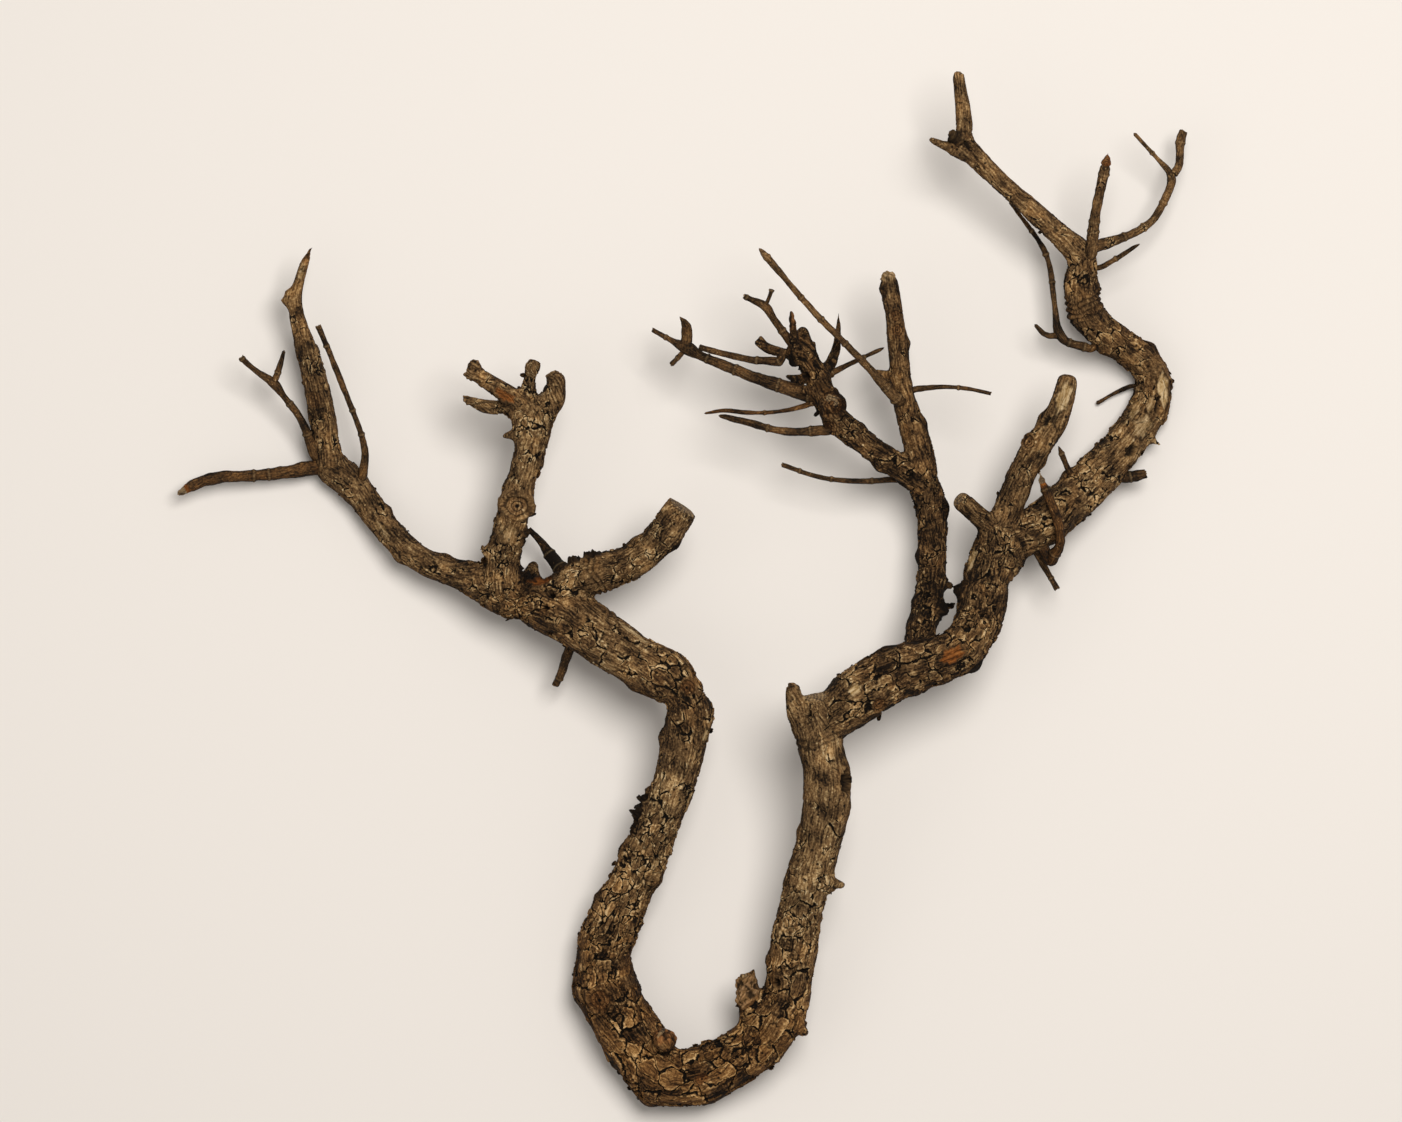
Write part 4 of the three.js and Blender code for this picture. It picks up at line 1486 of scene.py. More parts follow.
def end_tree(
    geometry: Signal, bark: Material, ends: Signal | None = None, cut: Material | None = None
) -> Tree:
    """Ends a Geometry Nodes tree: makes instances real and sets the materials.

    Args:
        geometry: what the tree has made.
        bark: its material.
        ends: which of its faces are cut ends, if any.
        cut: their material.

    Returns:
        The tree.
    """
    geometry = geometry.into("GeometryNodeRealizeInstances", {"Geometry": geometry})
    geometry = geometry.into("GeometryNodeSetMaterial", {"Geometry": geometry, "Material": bark})
    if ends:
        inputs = {"Geometry": geometry, "Selection": ends, "Material": cut}
        geometry = geometry.into("GeometryNodeSetMaterial", inputs)
    put(geometry.tree, "NodeGroupOutput", {"Geometry": geometry})
    return geometry.tree


def titled(*owners: object) -> dict[str, float]:
    """Gathers sizes by the names of a tree's sockets: plate_width becomes "Plate Width"."""
    return {key.replace("_", " ").title(): size for owner in owners for key, size in vars(owner).items()}


def worn(tree: Tree, *keys: str) -> list[Signal]:
    """Reads a geometry's attributes.

    Args:
        tree: a Geometry Nodes tree.
        keys: their names; "straight" and "ring" are vectors, and the rest are numbers.

    Returns:
        Their signals.
    """
    kinds = ["FLOAT_VECTOR" if key in ("straight", "ring") else "FLOAT" for key in keys]
    kind = "GeometryNodeInputNamedAttribute"
    nodes = [put(tree, kind, {"Name": key}, data_type=k) for key, k in zip(keys, kinds)]
    return [Signal(tree, node.outputs[0]) for node in nodes]


def kept(geometry: Signal, key: str, value: Operand, vector: bool = False) -> Signal:
    """Stores a value on a geometry's points.

    Args:
        geometry: the geometry.
        key: the attribute's name.
        value: the value.
        vector: whether it is a vector.

    Returns:
        The same geometry with the attribute.
    """
    inputs = {"Geometry": geometry, "Name": key, "Value": value}
    kind = "FLOAT_VECTOR" if vector else "FLOAT"
    return geometry.into("GeometryNodeStoreNamedAttribute", inputs, data_type=kind, domain="POINT")


def pushed(geometry: Signal, reach: Signal) -> Signal:
    """Moves a geometry's points along their normals.

    Args:
        geometry: the geometry.
        reach: how far, in millimetres.

    Returns:
        The moved geometry.
    """
    normal = geometry.into("GeometryNodeInputNormal", {})
    offset = normal.into("ShaderNodeVectorMath", {0: normal, "Scale": reach * MM}, operation="SCALE")
    return geometry.into("GeometryNodeSetPosition", {"Geometry": geometry, "Offset": offset})


@dataclass(frozen=True)
class Relief:
    """The relief of the thick limbs' bark, grown over their smooth wood by Geometry Nodes."""

    crack_depth: float = 0.85
    plate_lift: float = 0.95
    rim_height: float = 0.2
    lump_height: float = 0.9
    lump_size: float = 13.0
    fibre_depth: float = 0.5
    grit_depth: float = 0.2
    least_share: float = 0.2  # how much of the relief the thinnest prongs keep

    def tree(self, pattern: BarkPattern, bark: Material) -> Tree:
        """Builds the tree: plates, cracks, fibres, lumps and marks move the skin along its normal.

        Args:
            pattern: the bark's pattern.
            bark: the skin's material.

        Returns:
            The tree, whose inputs are the sizes in millimetres.
        """
        tree, given = start_tree("bark_relief", titled(self, pattern))
        keys = ("straight", "plated", "fine", "fibrous", "carve", "bare", "pale", "cut", "girth")
        place, plated, fine, fibrous, carve, bare, pale, cut, girth = worn(tree, *keys)
        sized = replace(
            pattern,
            plate_width=given["Plate Width"],
            plate_length=given["Plate Length"],
            crack_width=given["Crack Width"],
            fibre_width=given["Fibre Width"] * 2.0,
            fibre_length=given["Fibre Length"] * 1.3,
        )
        drawn = sized.draw(place, plated, fine)
        skin = drawn["tilt"] * plated * given["Plate Lift"] - drawn["groove"] * given["Crack Depth"]
        skin = skin + (drawn["own"] - 0.5) * plated * given["Plate Lift"] * 0.5
        skin = skin + drawn["rim"] * given["Rim Height"] - drawn["ripple"] * 0.4
        skin = skin + drawn["fibre"] * fibrous * given["Fibre Depth"]
        skin = skin + place.noise(1.6, 3.0) * given["Grit Depth"]
        skin = skin * (1.0 - bare.maths("MAXIMUM", pale) * 0.75)
        lumps = (place / given["Lump Size"]).noise(1.0, 1.5)
        skin = skin + lumps * given["Lump Height"]
        share = girth.eased(1.0, 7.0) * (1.0 - given["Least Share"]) + given["Least Share"]
        skin = skin * share * (1.0 - cut) + carve
        return end_tree(pushed(given["Geometry"], skin), bark)


@dataclass(frozen=True)
class Easing:
    """Eases the facets and the crotches of the joined wood, most where it is thick."""

    rounds: int = 150

    def tree(self, bark: Material) -> Tree:
        """Builds the tree, which blurs the positions of the points.

        Args:
            bark: the skin's material.

        Returns:
            The tree.
        """
        tree, given = start_tree("easing", {"Rounds": self.rounds})
        (girth,) = worn(tree, "girth")
        spot = girth.into("GeometryNodeInputPosition", {})
        kind = "GeometryNodeBlurAttribute"
        inputs = {"Iterations": given["Rounds"], "Weight": girth.eased(1.5, 9.0, 0.06, 1.0)}
        eased = spot.into(kind, {0: spot, **inputs}, data_type="FLOAT_VECTOR")
        # What the blur took from the girth is blurred too and given back.
        lost = spot.into(kind, {0: spot - eased, **inputs}, data_type="FLOAT_VECTOR")
        moved = {"Geometry": given["Geometry"], "Position": eased + lost}
        return end_tree(spot.into("GeometryNodeSetPosition", moved), bark)


@dataclass(frozen=True)
class Flakes:
    """Small curled flakes that stand off old bark, strewn by Geometry Nodes."""

    per_square_cm: float = 1.2
    width: float = 1.6
    length: float = 2.4
    thickness: float = 0.26
    curl: float = 0.5
    seed: int = 7

    def _flake(self, given: dict[str, Signal]) -> Signal:
        """Makes one flake: a thin slab, narrowed and curled up at its far end.

        Args:
            given: the tree's inputs.

        Returns:
            The flake, in metres.
        """
        size = given["Width"].into(
            "ShaderNodeCombineXYZ",
            {0: given["Width"] * MM, 1: given["Length"] * MM, 2: given["Thickness"] * MM},
        )
        slab = size.into(
            "GeometryNodeMeshCube", {"Size": size, "Vertices X": 5, "Vertices Y": 6, "Vertices Z": 2}
        )
        spot = slab.into("GeometryNodeInputPosition", {})
        axes = put(spot.tree, "ShaderNodeSeparateXYZ", {0: spot}).outputs
        x, y, z = (Signal(spot.tree, axis) for axis in axes)
        far = y / (given["Length"] * MM) + 0.5
        round_off = 1.0 - (far - 0.45) * (far - 0.45) * 1.9
        lift = far * far * given["Curl"] * MM + (x * x) * (0.25 / MM)
        ahead = y + given["Length"] * (0.3 * MM)
        bent = x.into("ShaderNodeCombineXYZ", {0: x * round_off, 1: ahead, 2: z + lift})
        ragged = (bent * (1 / MM)).noise(0.9, 2.0, "Color") * (0.22 * MM)
        return slab.into("GeometryNodeSetPosition", {"Geometry": slab, "Position": bent + ragged})

    def tree(self, bark: Material, cut: Material) -> Tree:
        """Builds the tree.

        Args:
            bark: the material of the flakes and of the bark that they stand on.
            cut: the material of sawn ends.

        Returns:
            The tree, whose inputs are the sizes in millimetres.
        """
        tree, given = start_tree("bark_flakes", titled(self))
        keys = ("straight", "plated", "cut", "bare", "girth", "sawn")
        place, plated, ends, bare, girth, sawn = worn(tree, *keys)
        ground = given["Geometry"]
        open_bark = plated * (1.0 - ends) * (1.0 - bare) * girth.eased(2.0, 6.0)
        clumps = place.noise(14.0, 1.0).eased(-0.35, 0.35, 0.15, 1.6)
        density = given["Per Square Cm"] * SQUARE_CM_IN_A_METRE * open_bark * clumps
        inputs = {"Mesh": ground, "Density": density, "Seed": given["Seed"]}
        strewn = ground.into("GeometryNodeDistributePointsOnFaces", inputs)
        chances = []
        for step, low, high in ((1, -0.9, 0.9), (2, 0.5, 1.35)):  # how far a flake is turned, and its scale
            inputs = {2: low, 3: high, "Seed": self.seed + step}
            chances.append(strewn.into("FunctionNodeRandomValue", inputs, 1, data_type="FLOAT"))
        upright = strewn.other("Rotation")
        turn = upright.into("ShaderNodeCombineXYZ", {2: chances[0]})
        turned = upright.into("FunctionNodeRotateRotation", {0: upright, 1: turn}, rotation_space="LOCAL")
        inputs = {"Points": strewn, "Instance": self._flake(given), "Rotation": turned, "Scale": chances[1]}
        flakes = strewn.into("GeometryNodeInstanceOnPoints", inputs)
        flakes = flakes.into("GeometryNodeRealizeInstances", {"Geometry": flakes})
        spot = flakes.into("GeometryNodeInputPosition", {})
        flakes = kept(flakes, "straight", spot * (1 / MM), vector=True)
        flakes = kept(flakes, "plated", 0.1)
        flakes = flakes.into("GeometryNodeRemoveAttribute", {"Geometry": flakes, "Name": "sawn"})
        joined = flakes.into("GeometryNodeJoinGeometry", {0: flakes})
        tree.links.new(ground.socket, joined.socket.node.inputs[0])
        return end_tree(joined, bark, sawn, cut)


# ---- the thick limbs


@dataclass
class Boughs:
    """The thick limbs: fleshed out together, barked, and cut apart again at their forks."""

    surface: Surface
    bark: Material
    cut: Material  # of sawn ends
    voxel: float = 0.5
    swell: float = 0.4  # closes the gaps between the solids, and makes up for their flat facets
    rounds: int = 150  # of easing
    keep: float = 0.44  # share of the triangles kept once the bark is on
    thickest: float = 15.0  # a radius over this is no limb's
    peg: float = 2.5  # the radius given to a peg too slight to be traced

    def build(self) -> list[Thing]:
        """Makes every thick limb.

        Returns:
            One closed piece for each limb.
        """
        flesh = self._flesh()
        self._describe(flesh)
        self._grow_bark(flesh)
        return self._part(flesh)

    def _flesh(self) -> Thing:
        """Joins the solids into one smooth skin.

        Returns:
            The skin.
        """
        solids = [self.surface.solids[limb.name] for limb in BOUGHS]
        for limb in BOUGHS:
            solids += [spur.solid(self.surface.lines[limb.name][spur.prong]) for spur in limb.spurs]
        whole = Solid.joined(solids)
        obj = place("flesh", build_mesh("flesh", whole.verts, whole.tris))
        swollen = obj.modifiers.new("swell", "DISPLACE")
        swollen.mid_level = 0
        swollen.strength = self.swell * MM
        mesher = obj.modifiers.new("skin", "REMESH")
        mesher.mode = "VOXEL"
        mesher.voxel_size = self.voxel * MM
        settle(obj)
        store(obj.data, "girth", self._girths(spots_of(obj.data)))
        grow(obj, Easing(self.rounds).tree(self.bark), {"Rounds": self.rounds})
        return obj

    def _girths(self, verts: Array) -> Array:
        """Finds the radius of the wood at each vertex.

        Args:
            verts: the skin's vertices.

        Returns:
            The radii, which are small on stubs and pegs too slight to be traced.
        """
        found = np.full(len(verts), np.inf)
        for limb in BOUGHS:
            lines = self.surface.lines[limb.name]
            for line in lines + [spur.line(lines[spur.prong]) for spur in limb.spurs]:
                fine = line.resampled(1.5)
                low, high = fine.points.min(0) - MARGIN, fine.points.max(0) + MARGIN
                near = np.flatnonzero(((verts > low) & (verts < high)).all(1))
                for part in np.array_split(near, len(near) // CHUNK + 1):
                    square = np.maximum(squares(verts[part], fine.points), 0)
                    nearest = square.argmin(1)
                    reach = np.sqrt(square[np.arange(len(part)), nearest])
                    jut = smoothstep(1.2, 1.45, reach / fine.radii[nearest])
                    radius = np.minimum(reach, fine.radii[nearest]) * (1 - 0.75 * jut)
                    radius[jut >= 1] += self.thickest
                    found[part] = np.minimum(found[part], radius)
        return np.where(found < self.thickest, found, self.peg)

    def _owners(self, points: Array) -> tuple[Array, Array]:
        """Finds the limb that each point belongs to.

        Args:
            points: the points.

        Returns:
            The number of each one's limb, and whether it is on a flat end.
        """
        solids = [self.surface.solids[limb.name] for limb in BOUGHS]
        tree = surface_of(solids)
        owner_of = np.concatenate([np.full(len(s.tris), i) for i, s in enumerate(solids)])
        sawn = np.concatenate([s.sawn_faces() for s in solids])
        nearest = np.array([tree.find_nearest(p)[2] for p in points.tolist()])
        return owner_of[nearest], sawn[nearest]

    def _describe(self, obj: Thing) -> None:
        """Gives every vertex its place along its limb and what its bark is like there.

        Args:
            obj: the skin.
        """
        data = obj.data
        verts = spots_of(data)
        normals = read(data.vertices, "normal", 3)
        owner, sawn = self._owners(verts)
        straight = np.zeros_like(verts)
        keys = ("plated", "fine", "fibrous", "warm", "tone")
        values = {key: np.zeros(len(verts)) for key in keys}
        cut = np.zeros(len(verts))
        for i, limb in enumerate(BOUGHS):
            mine = np.flatnonzero(owner == i)
            straight[mine], share, facing = self._straighten(verts[mine], i)
            cut[mine] = sawn[mine] & (np.abs(np.einsum("ij,ij->i", normals[mine], facing)) > 0.5)
            ats = [s.at for s in limb.bark]
            for key in keys:
                values[key][mine] = np.interp(share, ats, [getattr(s, key) for s in limb.bark])
        girth = fetch(data, "girth")
        slender = 1 - smoothstep(4.5, 9.0, girth)
        values["fine"] = np.maximum(values["fine"], slender)
        values["plated"] *= 1 - 0.35 * slender - 0.22 * (1 - smoothstep(2.4, 4.5, girth))
        # Painted shade: the flanks and the underside are darkened in tone.
        values["tone"] -= painted_undershade(data)
        marks = self._marks(verts, normals)
        values["plated"] *= 1 - 0.9 * marks.pop("calm")
        values.update(marks, straight=straight, cut=cut, owner=owner.astype(float))
        for key, numbers in values.items():
            store(data, key, numbers)

    def _straighten(self, verts: Array, i: int) -> tuple[Array, Array, Array]:
        """Unbends a limb: finds where each vertex would be if its centreline were straight.

        Args:
            verts: the limb's vertices.
            i: its number, which sets its pattern apart.

        Returns:
            The unbent places, the shares of the main line, and the ways along the limb.
        """
        lines = [line.resampled(1.0) for line in self.surface.lines[BOUGHS[i].name]]
        keys = ("points", "radii", "tangents", "sides", "across")
        points, radii, tangents, sides, across = (
            np.concatenate([getattr(line, key) for line in lines]) for key in keys
        )
        along = np.concatenate([line.along + PRONGS_APART * j for j, line in enumerate(lines)])
        main = lines[0].along / lines[0].along[-1]
        shares = np.concatenate([main] + [np.full(len(line.along), line.share) for line in lines[1:]])
        best = np.zeros(len(verts), int)
        for first in range(0, len(verts), CHUNK):
            square = squares(verts[first : first + CHUNK], points)
            best[first : first + CHUNK] = np.argmin(square / radii[None] ** 2, axis=1)
        spokes = verts - points[best]
        aside, over, ahead = (np.einsum("ij,ij->i", spokes, way[best]) for way in (sides, across, tangents))
        unbent = np.stack([aside, over, along[best] + ahead + LIMBS_APART * i], axis=1)
        return unbent, shares[best], tangents[best]

    def _marks(self, verts: Array, normals: Array) -> dict[str, Array]:
        """Works out the knots, holes, wounds and other marks.

        Args:
            verts: the skin's vertices.
            normals: their normals.

        Returns:
            How far each vertex moves out ("carve"), how red-brown ("bare"), how pale and how dark the
            skin is there, how free of plates ("calm"), and how far from a knot's eye ("knot").
        """
        made = {key: np.zeros(len(verts)) for key in ("carve", "bare", "pale", "dark", "calm")}
        made["knot"] = np.full(len(verts), NO_KNOT)
        for limb in BOUGHS:
            for mark in limb.placed():
                line = self.surface.lines[limb.name][mark.prong]
                near, moved, shades = mark.laid(line, verts, normals)
                made["carve"][near] += moved
                for key, share in shades.items():
                    pick = np.minimum if key == "knot" else np.maximum
                    made[key][near] = pick(made[key][near], share)
        return made

    def _grow_bark(self, obj: Thing) -> None:
        """Grows the bark by Geometry Nodes, then thins the mesh where it is flat.

        Args:
            obj: the skin.
        """
        relief, pattern = Relief(), OLD_BARK.pattern
        grow(obj, relief.tree(pattern, self.bark), titled(relief, pattern))
        thinner = obj.modifiers.new("thin", "DECIMATE")
        thinner.ratio = self.keep
        settle(obj)

    def _part(self, obj: Thing) -> list[Thing]:
        """Cuts the skin apart at the forks and closes each piece inside the wood.

        Args:
            obj: the barked skin.

        Returns:
            One piece for each limb.
        """
        data = obj.data
        data.calc_loop_triangles()
        tris = read(data.loop_triangles, "vertices", 3, int)
        verts = spots_of(data)
        owner = fetch(data, "owner")
        vague = np.abs(owner - np.round(owner)) > 1e-3
        if vague.any():
            owner[vague] = self._owners(verts[vague])[0]
        owner = np.round(owner).astype(int)
        face_owner = np.array(np.median(owner[tris], axis=1), int)
        keys = ("plated", "fine", "fibrous", "bare", "pale", "dark", "warm", "tone", "knot", "cut", "girth")
        layers = {key: fetch(data, key) for key in keys}
        layers["straight"] = read(data.attributes["straight"].data, "vector", 3, np.float32)
        flakes = Flakes()
        flaking = flakes.tree(self.bark, self.cut)
        pieces = []
        for i, limb in enumerate(BOUGHS):
            used, local = np.unique(tris[face_owner == i], return_inverse=True)
            shell, faces, source = close_holes(verts[used], local.reshape(-1, 3))
            mesh = build_mesh(limb.name + "_bark", shell, faces)
            for key, values in layers.items():
                values = values[used]
                if key == "straight":
                    # Along a fork's seam, a vertex may have another limb's place, or a mix of two.
                    seam = vague[used] | (owner[used] != i)
                    values[seam] = self._straighten(verts[used][seam], i)[0]
                store(mesh, key, values[source])
            store(mesh, "sawn", layers["cut"][used][source][faces].min(1) > 0.5, "FACE")
            mesh.shade_smooth()
            pieces.append(grow(place(limb.name + "_bark", mesh), flaking, titled(flakes)))
        bpy.data.objects.remove(obj)
        return pieces


def close_holes(verts: Array, faces: Array) -> tuple[Array, Array, Array]:
    """Closes each open rim of a shell with a fan.

    Args:
        verts: the shell's vertices.
        faces: its triangles.

    Returns:
        The vertices and the triangles with the fans, and for each vertex the one it takes its
        attributes from.
    """
    edges = faces[:, [0, 1, 1, 2, 2, 0]].reshape(-1, 2)
    count = len(verts)
    forward = edges[:, 0].astype(np.int64) * count + edges[:, 1]
    backward = edges[:, 1].astype(np.int64) * count + edges[:, 0]
    rim = edges[~np.isin(forward, backward)]
    onward = defaultdict(list)
    for a, b in rim.tolist():
        onward[a].append(b)
    loops, extra, fans, source = [], [], [], list(range(count))
    while onward:
        first = next(iter(onward))
        loop = [first]
        here = onward[first].pop()
        if not onward[first]:
            del onward[first]
        while here != first:
            if here in loop:
                # The rim crosses itself here, so the loop walked since then is closed by itself.
                loops.append(loop[loop.index(here) :])
                loop = loop[: loop.index(here)]
            loop.append(here)
            following = onward[here].pop()
            if not onward[here]:
                del onward[here]
            here = following
        loops.append(loop)
    for loop in loops:
        hub = count + len(extra)
        extra.append(verts[loop].mean(0))
        source.append(loop[0])
        fans.extend([b, a, hub] for a, b in zip(loop, loop[1:] + loop[:1]))
    if extra:
        verts = np.concatenate([verts, np.array(extra)])
        faces = np.concatenate([faces, np.array(fans)])
    return verts, faces, np.array(source)


# ---- the twigs


@dataclass(frozen=True)
class Sweep:
    """Sweeps a twig's skin along its centrelines by Geometry Nodes. Lengths are in millimetres."""

    sides: int = 20
    wrinkle_depth: float = 0.14
    wrinkle_width: float = 0.6
    wrinkle_length: float = 5.0
    knob_height: float = 0.4
    knob_spacing: float = 17.0
    knob_share: float = 0.06  # a knob's length, as a share of the spacing
    swelling: float = 0.3
    splinter: float = 1.3

    def tree(self, bark: Material, cut: Material) -> Tree:
        """Builds the tree: a line of edges with radii becomes a closed, wrinkled, knobbly tube.

        Args:
            bark: the material of the bark.
            cut: the material of its ends.

        Returns:
            The tree, whose inputs are the sizes in millimetres.
        """
        tree, given = start_tree("twig_sweep", titled(self))
        girth, along, end, ring, place = worn(tree, "girth", "along", "cut", "ring", "straight")
        curve = girth.into("GeometryNodeMeshToCurve", {"Mesh": given["Geometry"]})
        hoop = girth.into(
            "GeometryNodeCurvePrimitiveCircle", {"Resolution": given["Sides"], "Radius": 1.0}, mode="RADIUS"
        )
        hoop = kept(hoop, "ring", hoop.into("GeometryNodeInputPosition", {}), vector=True)
        skin = curve.into(
            "GeometryNodeCurveToMesh",
            {"Curve": curve, "Profile Curve": hoop, "Scale": girth * MM, "Fill Caps": True},
        )
        ahead = along.into("ShaderNodeCombineXYZ", {2: along})
        skin = kept(skin, "straight", ring * girth + ahead, vector=True)

        thread = place.into(
            "ShaderNodeCombineXYZ",
            {0: given["Wrinkle Width"], 1: given["Wrinkle Width"], 2: given["Wrinkle Length"]},
        )
        moved = (place / thread).noise(1.0, 3.0) * given["Wrinkle Depth"]
        away = along.into(
            "ShaderNodeTexVoronoi", {"W": along / given["Knob Spacing"], "Scale": 1.0, "Randomness": 0.85},
            "Distance", voronoi_dimensions="1D",
        )
        knob = 1.0 - (away / given["Knob Share"]).eased(0.0, 1.0)
        bulge = place.noise(2.6, 1.5)
        moved = moved + knob * (bulge + 0.75) * given["Knob Height"]
        moved = moved + place.noise(5.5, 2.0) * girth.maths("MINIMUM", 2.5) * given["Swelling"]
        torn = (place / (1.0, 1.0, 5.0)).noise(0.8, 2.0) * given["Splinter"]
        skin = pushed(skin, moved.mixed(torn, end))
        # Painted shade in the crease round each knob's foot, and a painted highlight on its crest.
        shoulder = away / given["Knob Share"]
        skin = kept(skin, "dark", shoulder.eased(0.35, 0.75) * shoulder.eased(1.2, 0.8) * 0.4)
        skin = kept(skin, "pale", knob.eased(0.55, 1.0) * 0.15)
        ends = end.into("FunctionNodeCompare", {0: end, 1: 0.6}, operation="GREATER_THAN")
        return end_tree(skin, bark, ends, cut)


@dataclass
class Twigs:
    """The twigs, each swept along the centrelines of its own solid.

    A bud's girths are shares of the twig's own, at distances from its point.
    """

    surface: Surface
    bark: Material
    cut: Material  # of their ends
    step: float = 0.4
    slim: float = 0.82  # a twig's radius, as a share of its stout solid's
    bud: tuple[tuple[float, ...], ...] = ((0, 0.5, 2.6, 3.8, 4.4, 5.4), (0.15, 0.32, 0.85, 1, 0.72, 1))
    bud_length: float = 4.2
    splintered: float = 6.0  # the length of a torn end
    sweep: Sweep = field(default_factory=Sweep)

    def build(self) -> list[Thing]:
        """Makes every twig.

        Returns:
            One piece for each twig.
        """
        tree = self.sweep.tree(self.bark, self.cut)
        pieces = []
        for i, limb in enumerate(TWIGS):
            obj = grow(self._path(limb, LIMBS_APART * i), tree, titled(self.sweep))
            count = len(obj.data.vertices)
            look = {key: np.full(count, value) for key, value in vars(limb.bark[0]).items()}
            # Painted shade: the twig's flanks and underside are darkened in tone.
            look["tone"] = look["tone"] - painted_undershade(obj.data)
            raw = {Tip.CUT: 0.0, Tip.BUD: 0.55, Tip.TORN: 1.0}[limb.tip]
            look["bare"] = smoothstep(0.0, 0.5, fetch(obj.data, "cut")) * raw
            look["knot"] = np.full(count, NO_KNOT)
            for key in ("plated", "fine", "fibrous", "warm", "tone", "bare", "knot"):
                store(obj.data, key, look[key])
            obj.data.shade_smooth()
            pieces.append(obj)
        return pieces

    def _rooted(self, line: Line, beside: str) -> Line:
        """Gives a twig's line a root that reaches into the core of the limb that it grows from.

        Args:
            line: the line, which starts at the limb's skin.
            beside: the limb's name.

        Returns:
            The longer line.
        """
        radius = float(np.median(line.radii[: max(3, len(line.radii) // 3)]))
        skipped = min(1.3 * radius, 0.35 * line.along[-1])
        first = int(np.searchsorted(line.along, skipped))
        ahead = min(first + 3, len(line.points) - 1)
        way = unit(line.points[ahead] - line.points[first])
        heel = line.points[first] - way * (skipped + 0.6 * radius)
        near = [core.resampled(1.0) for core in self.surface.lines[beside]]
        cores = np.concatenate([core.points for core in near])
        girths = np.concatenate([core.radii for core in near])
        cost = np.linalg.norm(cores - heel, axis=1) + 3 * np.maximum(1.2 * radius - girths, 0)
        points = np.vstack([cores[cost.argmin()], heel, line.points[first:]])
        radii = np.concatenate([[line.radii[first]] * 2, line.radii[first:]])
        whole = Line(points, radii).resampled(0.8)
        for _ in range(4):
            whole.points[1:-1] = (whole.points[:-2] + 2 * whole.points[1:-1] + whole.points[2:]) / 4
        return Line(whole.points, whole.radii, line.share)

    def _path(self, limb: Limb, start: float) -> Thing:
        """Draws a twig's centrelines as chains of edges.

        Args:
            limb: the twig.
            start: an offset along it that makes its pattern its own.

        Returns:
            An object of edges only, with each point's girth and distance.
        """
        points, girth, along, cut, chains = [], [], [], [], []
        for i, line in enumerate(self.surface.lines[limb.name]):
            whole = (self._rooted(line, limb.beside) if i == 0 else line).resampled(self.step)
            radii = whole.radii * self.slim
            if i == 0:
                radii = radii * (1 + 0.3 * np.exp(-whole.along / (2.0 * radii[0] + 3.0)))
            left = whole.along[-1] - whole.along
            torn = np.zeros(len(radii))
            if limb.tip is Tip.BUD and i == 0:
                radii = np.maximum(radii, radii[len(radii) // 2])
                radii = radii * np.interp(left, *self.bud)
                torn = 0.5 * (left < self.bud_length)
            elif limb.tip is Tip.TORN and i == 0:
                radii = np.maximum(radii, radii[len(radii) // 2])
                radii = radii * np.interp(left, [0, self.splintered], [0.3, 1])
                torn = smoothstep(-self.splintered, -1, -left)
            blunt = radii[-1] > 0.75
            ring = np.array([0.97, 0.8, 0.5, 0.2]) if blunt else np.array([0.75, 0.4, 0.1])
            rise = 0.03 if blunt else 0.25
            tail = whole.points[-1] + np.outer(np.arange(1, len(ring) + 1) * rise, whole.tangents[-1])
            first = sum(len(p) for p in points)
            points.append(np.vstack([whole.points, tail]))
            girth.append(np.concatenate([radii, radii[-1] * ring]))
            ends = np.full(len(ring), whole.along[-1])
            along.append(np.concatenate([whole.along, ends]) + start + FORKS_APART * i)
            cut.append(np.concatenate([torn, np.full(len(ring), 1.0 if blunt else torn[-1])]))
            chains.append(np.arange(first, first + len(points[-1]) - 1))
        verts = np.vstack(points)
        links = np.concatenate(chains)
        data = bpy.data.meshes.new(limb.name)
        data.from_pydata((verts * MM).tolist(), np.stack([links, links + 1], axis=1).tolist(), [])
        for key, parts in (("girth", girth), ("along", along), ("cut", cut)):
            store(data, key, np.concatenate(parts))
        return place(limb.name + "_bark", data)


# ---- floor, light and camera


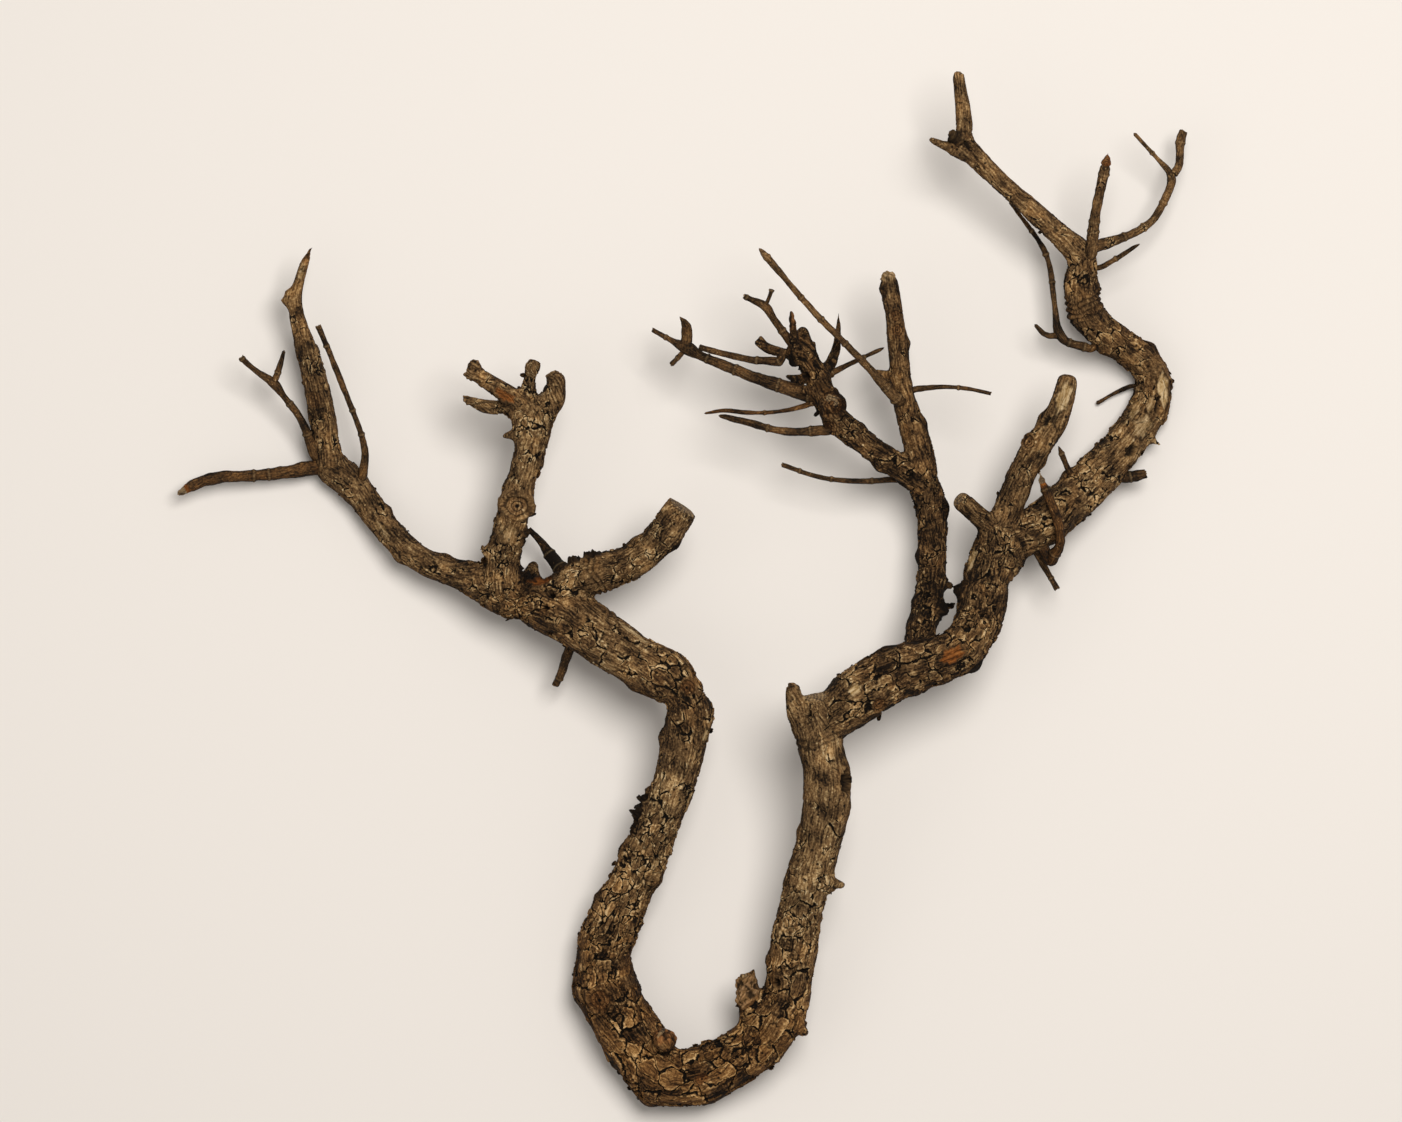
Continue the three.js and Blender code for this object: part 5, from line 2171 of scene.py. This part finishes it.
@dataclass
class Studio:
    """A pale floor, soft light and a camera that looks straight down. Lengths here are in metres."""

    floor_colour: str = "#ede5dc"
    floor_size: float = 6.0  # from its middle to an edge
    room_colour: str = "#fffdfa"
    room_light: float = 0.27
    distance: float = 3.0
    view_width: float = 0.5496  # what the view covers from side to side, at the branch
    aim: tuple[float, float] = (0.013, 0.022)  # the view's middle, as shares of that width

    def build(self) -> None:
        """Makes the floor, the lights and the camera."""
        low, high = CAD_BOX
        middle = (low + high) / 2
        self._floor(low.z)
        self._lights(middle)
        self._camera(middle)

    def _floor(self, height: float) -> None:
        """Lays a large plain floor.

        Args:
            height: the branch's lowest point.
        """
        corners = np.array([[-1, -1, 0], [1, -1, 0], [1, 1, 0], [-1, 1, 0]]) * self.floor_size / MM
        corners[:, 2] = height / MM
        data = build_mesh("floor", corners, np.array([[0, 1, 2, 3]]))
        made, tree = blank("pale_matt_paper")
        dress(tree, {"Base Color": linear(self.floor_colour), "Roughness": 0.9})
        data.materials.append(made)
        place("floor", data)

    def _lights(self, middle: Vector) -> None:
        """Hangs a wide soft light above the right, a weaker one above the left, and lights the room.

        Args:
            middle: the branch's middle, which they face.
        """
        for name, offset, size, power in (
            ("key", (0.34, 0.46, 1.8), 0.95, 29.5),
            ("fill", (-0.9, -0.3, 1.6), 1.6, 3.0),
        ):
            light = bpy.data.lights.new(name, "AREA")
            light.shape = "DISK"
            light.size = size
            light.energy = power
            lamp = bpy.data.objects.new(name, light)
            lamp.location = middle + Vector(offset)
            lamp.rotation_euler = (middle - lamp.location).to_track_quat("-Z", "Y").to_euler()
            bpy.context.scene.collection.objects.link(lamp)
        world = bpy.data.worlds.new("room")
        world.use_nodes = True
        sky = world.node_tree.nodes["Background"].inputs
        sky[0].default_value = linear(self.room_colour)
        sky[1].default_value = self.room_light
        bpy.context.scene.world = world
        bpy.context.scene.view_settings.view_transform = "Standard"

    def _camera(self, middle: Vector) -> None:
        """Sets the camera above the branch, with a long lens.

        Args:
            middle: the branch's middle.
        """
        lens = bpy.data.cameras.new("camera")
        lens.lens = lens.sensor_width * self.distance / self.view_width
        camera = bpy.data.objects.new("camera", lens)
        shift = Vector((self.aim[0] * self.view_width, self.aim[1] * self.view_width, self.distance))
        camera.location = middle + shift
        bpy.context.scene.collection.objects.link(camera)
        bpy.context.scene.camera = camera


def main() -> None:
    """Builds the branch and its studio."""
    logging.basicConfig(level=logging.INFO, format="%(message)s")
    old_bark, young_bark, cut_wood = (finish.material() for finish in (OLD_BARK, YOUNG_BARK, CutWood()))
    surface = Surface()
    coarser = {}
    boughs = Boughs(surface, old_bark, cut_wood, **coarser)
    twigs = Twigs(surface, young_bark, cut_wood)
    slots = {row["node"]: row["material_slot"] for row in frame["record"]["subparts"]}
    for piece in boughs.build() + twigs.build():
        node = piece.name.removesuffix("_bark")
        rest(piece, CAD_BOX[0].z / MM)
        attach(piece, "root")
        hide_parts(node)
        slots[node]
        log.info("%s: %d faces", piece.name, len(piece.data.polygons))
    Studio().build()
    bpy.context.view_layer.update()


if __name__ == "__main__":
    main()
